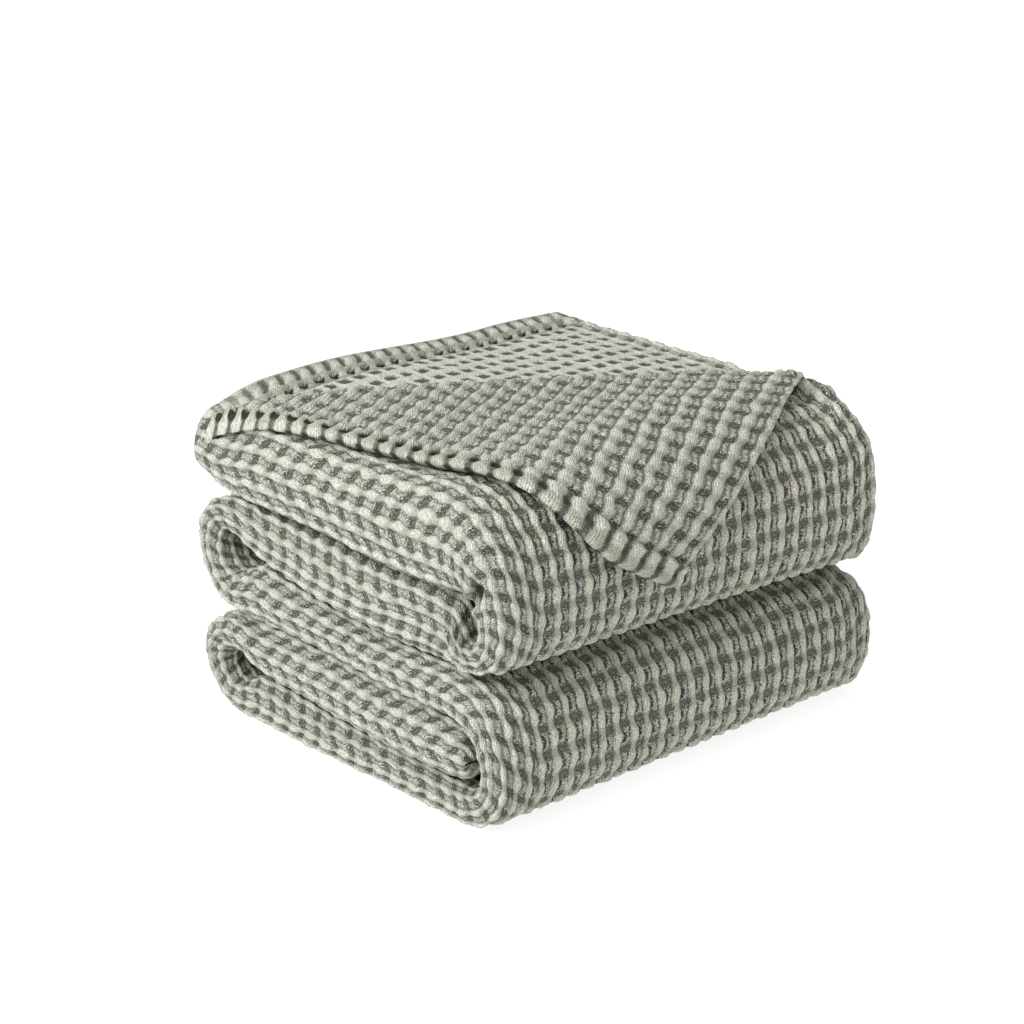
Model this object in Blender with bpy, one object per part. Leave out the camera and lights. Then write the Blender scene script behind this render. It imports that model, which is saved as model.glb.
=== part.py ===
"""Waffle weave cotton blanket, folded to a strip, laid back and forth, one corner turned over.

The blanket is folded lengthwise into a strip of four plies. The strip is laid back and forth in
five runs, and the back corner of its top ply is turned over along a slanting fold, so that it
hangs over the front roll. X runs along the rolls, Y from the front rolls to the back, Z up, and
the origin is under the middle of the box. The tables are in millimetres.
"""
from math import cos, pi, sin

import bmesh
import bpy
from mathutils import Vector

MM = 0.001

# Driving dimensions, in millimetres
STRIP_WIDTH = 308.0              # width of the folded strip
BACK = 134.5                     # where the top run ends
MIDDLE_Y = -5.77                 # middle of the finished depth, which the hanging tip moves forward
SPINE_ROUNDING = 17.0            # deepest rounding of the folded side edges
SPINE_SQUARENESS = 0.8           # under 1 makes those edges squarer than a half circle
TOP_HEIGHT = 190.0               # height of the top run's upper side
TOP_RUN_UNDERSIDE = 135.0        # height of the crease under the top run
BACK_SWELL = 9.0                 # how far the turned corner's start lifts the top run's back left
BACK_SWELL_X = -55.0             # where that lift is highest
BACK_SWELL_REACH = 125.0         # how far that lift runs to either side
SWELL_FRONT = -60.0              # where that lift starts, going back
SWELL_BACK = 115.0               # where it is full
SWELL_BASE = 145.0               # height under which nothing lifts
ROLL_TILT = 4.0                  # how far the crease between the rolls climbs to the left
ROLL_CREASE = 89.0               # height of that crease at the front
TILT_REACH = 75.0                # how far above and below the crease the tilt runs
TILT_START = 20.0                # distance in front of the middle where the tilt starts
TILT_FULL = 90.0                 # and where it is full
SWELL_POWER = 4                  # keeps the side edges' swelling to the side edges
PLY = 5.0                        # thickness of one ply
LEAF_GAP = 2.0                   # air under the turned corner
FOLD_RISE = 9.0                  # height of the turned corner's folded edge
FOLD_RUN = 48.0                  # distance from the fold in which that height settles
FOLD_NOSE = 11.0                 # depth of the folded edge's rounding
FOLD_DROP = 3.0                  # how far the folded edge's rim sits lower
FOLD_ROOT = -6.0                 # depth at which the corner grows from the cloth under its fold
ROOT_START = 6.0                 # distance from the fold where its underside starts to clear
ROOT_RUN = 8.0                   # and in which it clears
LEAF_THINNEST = 1.5
TIP_LIFT = 7.0                   # how far the hanging tip stands off the roll
TIP_START = 0.6                  # share of the corner's length from which the tip lifts
LEAF_START = 0.03                # share of the corner's length left out at its pointed start
BACK_DROP = 12.0                 # how far the corner sinks over the top run's back end
BACK_DROP_REACH = 22.0           # distance in which it does

# Slight unevenness of the whole blanket. Each row is one wave: its height in millimetres, then
# its turn in radians for each millimetre of x, y and z, and its turn at the origin.
# Columns: height, by_x, by_y, by_z, start
SAG = (2.0, 0.0173, 0.013, 0.0, 0.9)
LEAN = (2.6, 0.0157, -0.0092, 0.0, 0.4)
SIDE_SWELL = (1.6, 0.0, 0.027, 0.071, 0.0)

# Resolution of the solid
STEPS_PER_SECTION = 3
FLAT_STEPS = 6
SPINE_STEPS = 6
LEAF_STEPS_ALONG = 22
LEAF_STEPS_OVER = 14
LEAF_STEP_POWER = 1.4            # over 1 crowds the steps at the fold
ROLL_STEPS = 8

# The strip's route seen from the side, in millimetres. Each row is one section through the plies:
# the point on the side that is outermost on the upper roll, then the point on the other side.
# Columns: outer_y, outer_z, inner_y, inner_z
ROUTE = {
    "top run": [
        (134.5, 173.0, 134.5, 160.0),
        (129.0, 184.5, 127.5, 147.0),
        (104.5, 189.0, 104.5, 137.5),
        (52.5, 190.0, 52.5, 136.5),
        (0.0, 190.5, 0.0, 135.0),
        (-46.0, 191.0, -46.0, 133.5),
        (-81.0, 191.5, -81.0, 133.0),
    ],
    "upper roll": [
        (-110.0, 183.0, -97.0, 134.5),
        (-129.0, 164.0, -104.5, 133.0),
        (-136.0, 138.0, -109.0, 126.0),
        (-135.5, 112.0, -109.0, 115.0),
        (-126.5, 95.0, -106.0, 107.0),
        (-107.0, 89.0, -99.0, 104.5),
    ],
    "second run": [
        (-92.0, 88.0, -95.5, 111.5),
        (-79.0, 87.5, -90.5, 125.5),
        (-60.0, 88.0, -60.0, 131.5),
        (-13.0, 92.0, -13.0, 132.5),
        (46.0, 97.5, 46.0, 134.5),
        (81.0, 102.5, 81.0, 135.5),
        (99.0, 111.5, 102.0, 136.0),
    ],
    "middle lobe": [
        (109.5, 115.5, 123.0, 131.0),
        (116.0, 111.0, 134.0, 119.0),
        (117.5, 104.0, 136.0, 105.0),
        (114.0, 96.5, 131.5, 89.5),
        (106.5, 91.5, 119.0, 75.5),
    ],
    "third run": [
        (98.0, 93.0, 102.0, 67.0),
        (81.0, 99.5, 81.0, 64.5),
        (46.0, 95.5, 46.0, 63.5),
        (-13.0, 90.0, -13.0, 61.5),
        (-65.5, 85.5, -65.5, 59.0),
    ],
    "lower roll": [
        (-102.5, 83.5, -91.5, 58.5),
        (-125.0, 73.0, -106.0, 54.0),
        (-135.0, 51.0, -112.5, 43.0),
        (-135.5, 27.5, -113.0, 33.0),
        (-127.0, 9.5, -108.5, 24.0),
        (-107.5, 1.0, -99.5, 20.0),
    ],
    "bottom run": [
        (-85.0, 0.0, -85.0, 20.5),
        (-26.0, 0.0, -26.0, 22.5),
        (39.0, 0.0, 39.0, 25.5),
        (82.5, 0.0, 82.5, 27.0),
        (102.0, 1.0, 99.5, 20.5),
    ],
    "bottom lobe": [
        (120.5, 7.0, 109.0, 19.0),
        (132.0, 18.5, 116.5, 24.0),
        (136.0, 31.0, 118.5, 31.0),
        (132.0, 46.0, 116.0, 37.5),
        (120.5, 59.0, 108.0, 41.5),
    ],
    "inner run": [
        (100.5, 63.0, 97.0, 40.0),
        (81.0, 62.5, 81.0, 29.5),
        (39.0, 61.5, 39.0, 27.5),
        (-13.0, 59.5, -13.0, 25.0),
        (-65.5, 57.0, -65.5, 22.5),
        (-90.5, 54.0, -90.5, 24.0),
        (-103.5, 45.5, -103.5, 29.0),
    ],
}

# The turned corner's two long edges, from the left corner on. Each row is one point:
# x, then the distance travelled from the top run's back end over the top and down the roll.
# Columns: x, distance
CORNER_HEM = [
    (-151.5, 3.0),
    (-146.5, 32.0),
    (-142.0, 76.0),
    (-134.0, 146.0),
    (-125.0, 210.0),
    (-92.0, 279.0),
    (-38.0, 314.0),
]
CORNER_FOLD = [
    (-150.0, 4.0),
    (-132.0, 32.0),
    (-88.0, 60.0),
    (-30.0, 98.0),
    (30.0, 137.0),
    (90.0, 175.0),
    (148.0, 211.0),
]


def clear_scene():
    """Remove whatever the file holds."""
    for item in list(bpy.data.objects):
        bpy.data.objects.remove(item, do_unlink=True)


def catmull_rom(before, start, end, after, t):
    """Point between start and end on the smooth curve through four points."""
    return tuple(
        0.5 * (2 * b + (c - a) * t + (2 * a - 5 * b + 4 * c - d) * t ** 2
               + (3 * b - a - 3 * c + d) * t ** 3)
        for a, b, c, d in zip(before, start, end, after)
    )


def on_curve(points, position):
    """Point on the smooth curve through the rows, at a position counted in rows."""
    last = len(points) - 1
    i = min(int(position), last - 1)
    before = points[max(i - 1, 0)]
    after = points[min(i + 2, last)]
    return catmull_rom(before, points[i], points[i + 1], after, position - i)


def smooth_sections(sections, steps):
    """The given sections with steps - 1 more between each pair, on one smooth curve."""
    count = (len(sections) - 1) * steps
    return [on_curve(sections, k / steps) for k in range(count + 1)]


def smoothstep(low, high, value):
    """0 below low, 1 above high, and a smooth rise between them."""
    t = min(max((value - low) / (high - low), 0.0), 1.0)
    return t * t * (3 - 2 * t)


def wave(row, x, y, z):
    """Height of one wave at a point."""
    height, by_x, by_y, by_z, start = row
    return height * sin(by_x * x + by_y * y + by_z * z + start)


def settle(x, y, z):
    """A point in millimetres, moved by the blanket's slight unevenness, in metres."""
    z = max(z, 0.0)
    height = z / TOP_HEIGHT
    sag_height, sag_x, sag_y, _, sag_start = SAG
    sag = sag_height * height * sin(sag_x * x + sag_start) * cos(sag_y * y)
    lean = height * wave(LEAN, x, y, z)
    swell = wave(SIDE_SWELL, x, y, z)
    side = 1.0 if x > 0 else -1.0
    reach = 2 * abs(x) / STRIP_WIDTH
    heap = 1 - smoothstep(0.0, BACK_SWELL_REACH, abs(x - BACK_SWELL_X))
    lift = BACK_SWELL * heap * smoothstep(SWELL_FRONT, SWELL_BACK, y)
    lift *= smoothstep(SWELL_BASE, TOP_HEIGHT, z)
    near_crease = 1 - smoothstep(0.0, TILT_REACH, abs(z - ROLL_CREASE))
    tilt = -ROLL_TILT * 2 * x / STRIP_WIDTH * near_crease * smoothstep(TILT_START, TILT_FULL, -y)
    moved_x = x + side * swell * reach ** SWELL_POWER
    return Vector((moved_x, y + lean - MIDDLE_Y, z + sag + lift + tilt)) * MM


def section_ring(section):
    """Closed ring of points round one section: two faces and two rounded side edges."""
    outer_y, outer_z, inner_y, inner_z = section
    thickness = ((outer_y - inner_y) ** 2 + (outer_z - inner_z) ** 2) ** 0.5
    rounding = min(thickness / 2, SPINE_ROUNDING)
    flat = STRIP_WIDTH / 2 - rounding
    outline = []
    for side in (1, -1):
        for k in range(FLAT_STEPS):
            outline.append((-side * flat * (1 - 2 * k / FLAT_STEPS), side))
        for k in range(SPINE_STEPS):
            turn = pi * k / SPINE_STEPS
            bulge = sin(turn) ** SPINE_SQUARENESS
            outline.append((side * (flat + rounding * bulge), side * cos(turn)))
    ring = []
    for x, level in outline:
        share = (1 + level) / 2
        y = inner_y + (outer_y - inner_y) * share
        z = inner_z + (outer_z - inner_z) * share
        ring.append(settle(x, y, z))
    return ring


def tube_through(name, rings):
    """Closed solid through a row of rings with the same number of points."""
    around = len(rings[0])
    mesh = bmesh.new()
    bmesh.ops.create_grid(mesh, x_segments=around, y_segments=len(rings) - 1, size=1.0)
    mesh.verts.ensure_lookup_table()
    for i, vertex in enumerate(mesh.verts):
        row, column = divmod(i, around + 1)
        vertex.co = rings[row][column % around]
    bmesh.ops.remove_doubles(mesh, verts=mesh.verts, dist=MM * 1e-3)
    bmesh.ops.holes_fill(mesh, edges=mesh.edges, sides=0)
    bmesh.ops.recalc_face_normals(mesh, faces=mesh.faces)
    data = bpy.data.meshes.new(name)
    mesh.to_mesh(data)
    mesh.free()
    item = bpy.data.objects.new(name, data)
    bpy.context.scene.collection.objects.link(item)
    return item


def outside_of_roll():
    """Outer side of the top run and upper roll: rows of distance, y, z and outward y, z."""
    sections = ROUTE["top run"][2:] + ROUTE["upper roll"]
    points = [row[:2] for row in smooth_sections(sections, ROLL_STEPS)]
    points.insert(0, (BACK, points[0][1]))
    rows = []
    travelled = 0.0
    for i, (y, z) in enumerate(points):
        ahead = points[min(i + 1, len(points) - 1)]
        behind = points[max(i - 1, 0)]
        if i:
            travelled += ((y - behind[0]) ** 2 + (z - behind[1]) ** 2) ** 0.5
        dy, dz = ahead[0] - behind[0], ahead[1] - behind[1]
        length = (dy * dy + dz * dz) ** 0.5
        rows.append((travelled, y, z, dz / length, -dy / length))
    return rows


def on_roll(rows, distance, x, lift):
    """Point at a distance over the top run and down the upper roll, lifted off it, in metres."""
    for low, high in zip(rows, rows[1:]):
        if distance <= high[0]:
            break
    share = (distance - low[0]) / (high[0] - low[0])
    y, z, out_y, out_z = (a + (b - a) * share for a, b in zip(low[1:], high[1:]))
    half_thickness = (z - TOP_RUN_UNDERSIDE) / 2
    beyond = (abs(x) - (STRIP_WIDTH / 2 - SPINE_ROUNDING)) / SPINE_ROUNDING
    turn_sine = min(max(beyond, 0.0), 1.0) ** (1 / SPINE_SQUARENESS)
    drop = max(half_thickness, 0.0) * (1 - (1 - turn_sine ** 2) ** 0.5)
    back_drop = BACK_DROP * (1 - smoothstep(0.0, BACK_DROP_REACH, distance))
    return settle(x, y + out_y * lift, z - drop - back_drop + out_z * lift)


def leaf_heights(over):
    """Heights of the turned corner's two sides above the cloth under it, at a distance over
    from its fold, in millimetres.
    """
    settled = LEAF_GAP + PLY
    rise = settled + (FOLD_RISE - settled) * max(0.0, 1 - over / FOLD_RUN) ** 2
    nose = min(over / FOLD_NOSE, 1.0)
    upper = rise * (1 - (1 - nose) ** 2) ** 0.5 - FOLD_DROP * (1 - nose)
    cleared = min(max((over - ROOT_START) / ROOT_RUN, 0.0), 1.0)
    lower = FOLD_ROOT + (rise - PLY - FOLD_ROOT) * cleared
    return upper, min(lower, upper - LEAF_THINNEST)


def turned_corner():
    """The corner of the top ply that is turned over along the slanting fold."""
    rows = outside_of_roll()
    last = len(CORNER_HEM) - 1
    rings = []
    for i in range(LEAF_STEPS_ALONG + 1):
        along = LEAF_START + (1 - LEAF_START) * i / LEAF_STEPS_ALONG
        hem_x, hem_distance = on_curve(CORNER_HEM, along * last)
        fold_x, fold_distance = on_curve(CORNER_FOLD, along * last)
        rib = ((fold_x - hem_x) ** 2 + (fold_distance - hem_distance) ** 2) ** 0.5
        faces = ([], [])
        for j in range(LEAF_STEPS_OVER + 1):
            share = 1 - (1 - j / LEAF_STEPS_OVER) ** LEAF_STEP_POWER
            x = hem_x + (fold_x - hem_x) * share
            distance = hem_distance + (fold_distance - hem_distance) * share
            tip = TIP_LIFT * smoothstep(TIP_START, 1.0, along) * (1 - share) ** 2
            for face, height in zip(faces, leaf_heights(rib * (1 - share))):
                face.append(on_roll(rows, distance, x, height + tip))
        rings.append(faces[0] + faces[1][::-1])
    return tube_through("turned_corner", rings)


def cotton():
    """Sage and cream cotton, matt."""
    finish = bpy.data.materials.new("waffle_cotton")
    finish.use_nodes = True
    shader = finish.node_tree.nodes["Principled BSDF"]
    shader.inputs["Base Color"].default_value = (0.40, 0.42, 0.36, 1.0)
    shader.inputs["Roughness"].default_value = 0.95
    shader.inputs["Metallic"].default_value = 0.0
    return finish


def folded_blanket():
    """The whole blanket: the strip in its five runs, with the turned corner grown from it."""
    sections = [section for run in ROUTE.values() for section in run]
    rings = [section_ring(section) for section in smooth_sections(sections, STEPS_PER_SECTION)]
    blanket = tube_through("blanket", rings)
    blanket.data.materials.append(cotton())
    corner = turned_corner()
    corner.hide_render = True
    corner.display_type = "WIRE"
    union = blanket.modifiers.new("turned_corner", "BOOLEAN")
    union.operation = "UNION"
    union.solver = "EXACT"
    union.object = corner
    return blanket


def main():
    """Clear the file and build the blanket."""
    clear_scene()
    folded_blanket()


main()
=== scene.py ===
"""Looks of the waffle weave cotton blanket: woven relief, hems, finish, floor, light and camera.

The blanket is a strip of four plies laid back and forth, with the back corner of its top ply
turned over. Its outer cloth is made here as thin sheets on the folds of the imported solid, with
the waffle weave as true relief. Tables and sizes are in millimetres unless a name says otherwise,
and the frame is the solid's own: X along the rolls, Y from the front rolls to the back, Z up.

Two numbers place a point on the cloth. Ribs are counted round the strip, from the middle of the
outer side, and cells are counted along the ribs, from the top run's back end. The strip's two
folded sides are its spines.
"""
from __future__ import annotations

import logging
from dataclasses import dataclass
from enum import Enum
from math import cos, pi, radians, sin

import bmesh
import bpy
import numpy as np
from mathutils import Matrix, Vector

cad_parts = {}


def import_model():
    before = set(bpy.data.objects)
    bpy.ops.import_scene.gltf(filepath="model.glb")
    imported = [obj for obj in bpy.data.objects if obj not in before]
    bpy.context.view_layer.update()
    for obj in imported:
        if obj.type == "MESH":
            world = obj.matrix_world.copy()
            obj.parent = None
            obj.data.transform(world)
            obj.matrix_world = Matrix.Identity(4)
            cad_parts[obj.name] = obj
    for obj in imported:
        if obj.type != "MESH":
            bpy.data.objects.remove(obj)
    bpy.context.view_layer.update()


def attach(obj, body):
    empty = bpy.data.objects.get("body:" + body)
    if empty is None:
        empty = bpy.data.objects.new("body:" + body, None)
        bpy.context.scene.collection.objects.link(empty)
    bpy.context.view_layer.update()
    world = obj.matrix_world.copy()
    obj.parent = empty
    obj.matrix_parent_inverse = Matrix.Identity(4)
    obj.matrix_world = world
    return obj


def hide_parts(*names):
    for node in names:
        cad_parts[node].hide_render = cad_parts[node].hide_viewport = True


LOG = logging.getLogger("blanket")
MM = 0.001
NODE = "blanket"
BODY = "root"
RIBS_ROUND = 58

# The least length that a normal is divided by, and the least step along the ribs, in cells.
LEAST_LENGTH = 1e-12
LEAST_CELLS = 1e-6

# Two numbers that belong together, such as the ends of a smooth rise, or a width and a length.
Pair = tuple[float, float]
Triple = tuple[float, float, float]
Colour = tuple[float, float, float, float]

# The strip's route seen from the side, in millimetres. Each row is one section through the plies:
# the point on the side that is outermost on the upper roll, then the point on the other side.
# Columns: outer_y, outer_z, inner_y, inner_z
ROUTE = {
    "top run": [
        (134.5, 173.0, 134.5, 160.0),
        (129.0, 184.5, 127.5, 147.0),
        (104.5, 189.0, 104.5, 137.5),
        (52.5, 190.0, 52.5, 136.5),
        (0.0, 190.5, 0.0, 135.0),
        (-46.0, 191.0, -46.0, 133.5),
        (-81.0, 191.5, -81.0, 133.0),
    ],
    "upper roll": [
        (-110.0, 183.0, -97.0, 134.5),
        (-129.0, 164.0, -104.5, 133.0),
        (-136.0, 138.0, -109.0, 126.0),
        (-135.5, 112.0, -109.0, 115.0),
        (-126.5, 95.0, -106.0, 107.0),
        (-107.0, 89.0, -99.0, 104.5),
    ],
    "second run": [
        (-92.0, 88.0, -95.5, 111.5),
        (-79.0, 87.5, -90.5, 125.5),
        (-60.0, 88.0, -60.0, 131.5),
        (-13.0, 92.0, -13.0, 132.5),
        (46.0, 97.5, 46.0, 134.5),
        (81.0, 102.5, 81.0, 135.5),
        (99.0, 111.5, 102.0, 136.0),
    ],
    "middle lobe": [
        (109.5, 115.5, 123.0, 131.0),
        (116.0, 111.0, 134.0, 119.0),
        (117.5, 104.0, 136.0, 105.0),
        (114.0, 96.5, 131.5, 89.5),
        (106.5, 91.5, 119.0, 75.5),
    ],
    "third run": [
        (98.0, 93.0, 102.0, 67.0),
        (81.0, 99.5, 81.0, 64.5),
        (46.0, 95.5, 46.0, 63.5),
        (-13.0, 90.0, -13.0, 61.5),
        (-65.5, 85.5, -65.5, 59.0),
    ],
    "lower roll": [
        (-102.5, 83.5, -91.5, 58.5),
        (-125.0, 73.0, -106.0, 54.0),
        (-135.0, 51.0, -112.5, 43.0),
        (-135.5, 27.5, -113.0, 33.0),
        (-127.0, 9.5, -108.5, 24.0),
        (-107.5, 1.0, -99.5, 20.0),
    ],
    "bottom run": [
        (-85.0, 0.0, -85.0, 20.5),
        (-26.0, 0.0, -26.0, 22.5),
        (39.0, 0.0, 39.0, 25.5),
        (82.5, 0.0, 82.5, 27.0),
        (102.0, 1.0, 99.5, 20.5),
    ],
    "bottom lobe": [
        (120.5, 7.0, 109.0, 19.0),
        (132.0, 18.5, 116.5, 24.0),
        (136.0, 31.0, 118.5, 31.0),
        (132.0, 46.0, 116.0, 37.5),
        (120.5, 59.0, 108.0, 41.5),
    ],
    "inner run": [
        (100.5, 63.0, 97.0, 40.0),
        (81.0, 62.5, 81.0, 29.5),
        (39.0, 61.5, 39.0, 27.5),
        (-13.0, 59.5, -13.0, 25.0),
        (-65.5, 57.0, -65.5, 22.5),
        (-90.5, 54.5, -90.5, 23.5),
        (-101.0, 50.5, -101.0, 27.0),
        (-105.5, 44.5, -105.5, 33.0),
        (-107.0, 39.5, -107.0, 38.5),
    ],
}

# How far the top run's hemmed back end stands over the solid's rounded one, for the outer points
# of the first sections, in millimetres.
# Columns: outer_y, outer_z
BACK_HEM_RISE = [
    (4.0, 9.0),
    (4.0, 5.5),
    (0.0, 1.0),
]

# The turned corner's two long edges, from the left corner on. Each row is one rib:
# its x and its distance from the top run's back end, at the hem and then at the fold.
# Columns: hem_x, hem_distance, fold_x, fold_distance
CORNER = [
    (-153.0, 3.0, -150.0, 4.0),
    (-152.0, 32.0, -132.0, 32.0),
    (-147.5, 76.0, -88.0, 60.0),
    (-136.0, 146.0, -30.0, 98.0),
    (-125.0, 210.0, 30.0, 137.0),
    (-92.0, 279.0, 90.0, 175.0),
    (-38.0, 314.0, 148.0, 211.0),
]

# Soft troughs pressed into the strip, and soft swells, whose depth is negative. Each row
# is one: its middle in ribs and cells, how far it reaches each way, and its depth in millimetres.
# Columns: rib, cell, rib_reach, cell_reach, depth
TROUGHS = [
    (11.0, 15.1, 1.0, 0.9, 6.0),
    (12.7, 14.5, 1.3, 1.1, -9.0),
    (-6.0, 17.5, 4.5, 0.9, 1.6),
    (3.5, 19.2, 3.5, 0.8, -1.3),
    (8.5, 16.8, 2.2, 2.0, 1.5),
    (-2.0, 43.5, 5.0, 1.0, 1.8),
    (6.5, 45.5, 3.0, 1.2, -1.4),
    (-8.0, 46.5, 2.0, 1.5, 1.5),
    (-14.0, 6.0, 1.6, 3.0, 1.8),
    (-13.0, 10.5, 1.2, 2.4, -1.4),
    (-14.5, 27.0, 1.5, 3.2, 1.6),
    (-13.5, 37.0, 1.4, 2.8, 1.7),
    (-15.0, 50.0, 1.6, 2.6, 1.5),
    (-17.6, 11.0, 1.3, 3.5, -1.6),
    (-17.6, 4.5, 1.3, 2.2, -1.2),
    (-17.6, 28.0, 1.3, 2.6, -1.4),
    (-17.6, 33.5, 1.3, 1.8, -1.1),
    (-14.9, 18.4, 0.85, 0.6, 7.0),
    (-13.5, 17.3, 0.6, 0.5, -2.4),
    (-15.9, 17.6, 0.6, 0.45, -2.4),
    (-15.3, 19.6, 0.7, 0.45, -2.4),
    (-16.4, 43.3, 1.0, 2.4, -3.2),
    (-16.4, 85.2, 1.0, 2.4, -2.8),
]

# Where shade is painted into a hollow between two plies. Each row is one gap: its middle in ribs
# and cells, and how far it reaches each way.
# Columns: rib, cell, rib_reach, cell_reach
SHADED_GAPS = [
    (-14.9, 18.4, 0.75, 0.55),
]


class Detail(Enum):
    """How finely a stretch of cloth is made, as quads for each cell along the ribs."""

    SHOWN = 12.0
    BACK = 9.0
    UNDERSIDE = 5.0
    HIDDEN = 2.0


def smoothstep(low: float, high: float, value: np.ndarray) -> np.ndarray:
    """0 below low, 1 above high, and a smooth rise between them."""
    t = np.clip((value - low) / (high - low), 0.0, 1.0)
    return t * t * (3 - 2 * t)


def fraction(value: np.ndarray) -> np.ndarray:
    """The part of a value above the whole number under it."""
    return value - np.floor(value)


def rounded(distance: np.ndarray, radius: float) -> np.ndarray:
    """Height of a rounded edge, from 0 at its start to 1 a radius away, like a quarter circle."""
    return np.sqrt(1 - (1 - np.clip(distance / radius, 0.0, 1.0)) ** 2)


def spot(u: np.ndarray, v: np.ndarray, middle: Pair, reach: Pair) -> np.ndarray:
    """1 at the middle, in ribs and cells, and a soft fall to 0 round it, over its reach."""
    return np.exp(-(((u - middle[0]) / reach[0]) ** 2 + ((v - middle[1]) / reach[1]) ** 2))


def lengths(points: np.ndarray) -> np.ndarray:
    """Length of each step between rows of two coordinates."""
    return np.hypot(*np.diff(points, axis=0).T)


def distances(steps: np.ndarray) -> np.ndarray:
    """Distance from the start at each point, from the lengths of the steps between points."""
    return np.concatenate([[0.0], np.cumsum(steps)])


def catmull_rom(points: np.ndarray, position: np.ndarray) -> np.ndarray:
    """Points on the smooth curve through rows of points.

    Args:
        points: the rows, one point each.
        position: places along the curve, counted in rows.

    Returns:
        One row of coordinates for each position.
    """
    last = len(points) - 1
    start = np.minimum(position.astype(int), last - 1)
    t = (position - start)[:, None]
    a, b = points[np.maximum(start - 1, 0)], points[start]
    c, d = points[start + 1], points[np.minimum(start + 2, last)]
    return 0.5 * (2 * b + (c - a) * t + (2 * a - 5 * b + 4 * c - d) * t ** 2
                  + (3 * b - a - 3 * c + d) * t ** 3)


def padded_steps(stretches: list[Pair], start: float) -> np.ndarray:
    """Places from start on, in stretches of even steps, with one more place at either end.

    Args:
        stretches: rows of (where the stretch ends, steps for each unit).
        start: where the first stretch starts.

    Returns:
        The places in rising order.
    """
    places = [start]
    for end, steps in stretches:
        count = max(1, round((end - places[-1]) * steps))
        places.extend(np.linspace(places[-1], end, count + 1)[1:])
    places.insert(0, 2 * places[0] - places[1])
    places.append(2 * places[-1] - places[-2])
    return np.array(places)


@dataclass(frozen=True)
class Unevenness:
    """Smooth bumps over the cloth, the same on every run.

    Attributes:
        amount: how far the bumps go up and down.
        size: distance between bumps, in cells.
        seed: number that tells one unevenness from another.
        scatter: large unrelated numbers, for a column, a row, the seed and the sine of their sum,
            which leave no order in the bumps.
    """

    amount: float
    size: float
    seed: int
    scatter: tuple[float, float, float, float] = (127.1, 311.7, 74.7, 43758.5453)

    def at(self, u: np.ndarray, v: np.ndarray) -> np.ndarray:
        """The unevenness at points of the cloth.

        Args:
            u: ribs counted round the strip.
            v: cells counted along the ribs.

        Returns:
            A value for each point, from minus the amount to the amount.
        """
        column, row = np.floor(u / self.size), np.floor(v / self.size)
        across, along = u / self.size - column, v / self.size - row
        across, along = across ** 2 * (3 - 2 * across), along ** 2 * (3 - 2 * along)
        repeat = max(1.0, round(RIBS_ROUND / self.size))
        by_column, by_row, by_seed, by_sine = self.scatter
        shift = self.seed * by_seed

        def knot(right: int, up: int) -> np.ndarray:
            """Fixed value from -1 to 1 at one corner of each square of the net."""
            turn = np.mod(column + right, repeat) * by_column + (row + up) * by_row + shift
            return 2 * fraction(np.sin(turn) * by_sine) - 1

        near = knot(0, 0) * (1 - across) + knot(1, 0) * across
        far = knot(0, 1) * (1 - across) + knot(1, 1) * across
        return self.amount * (near * (1 - along) + far * along)


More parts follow.
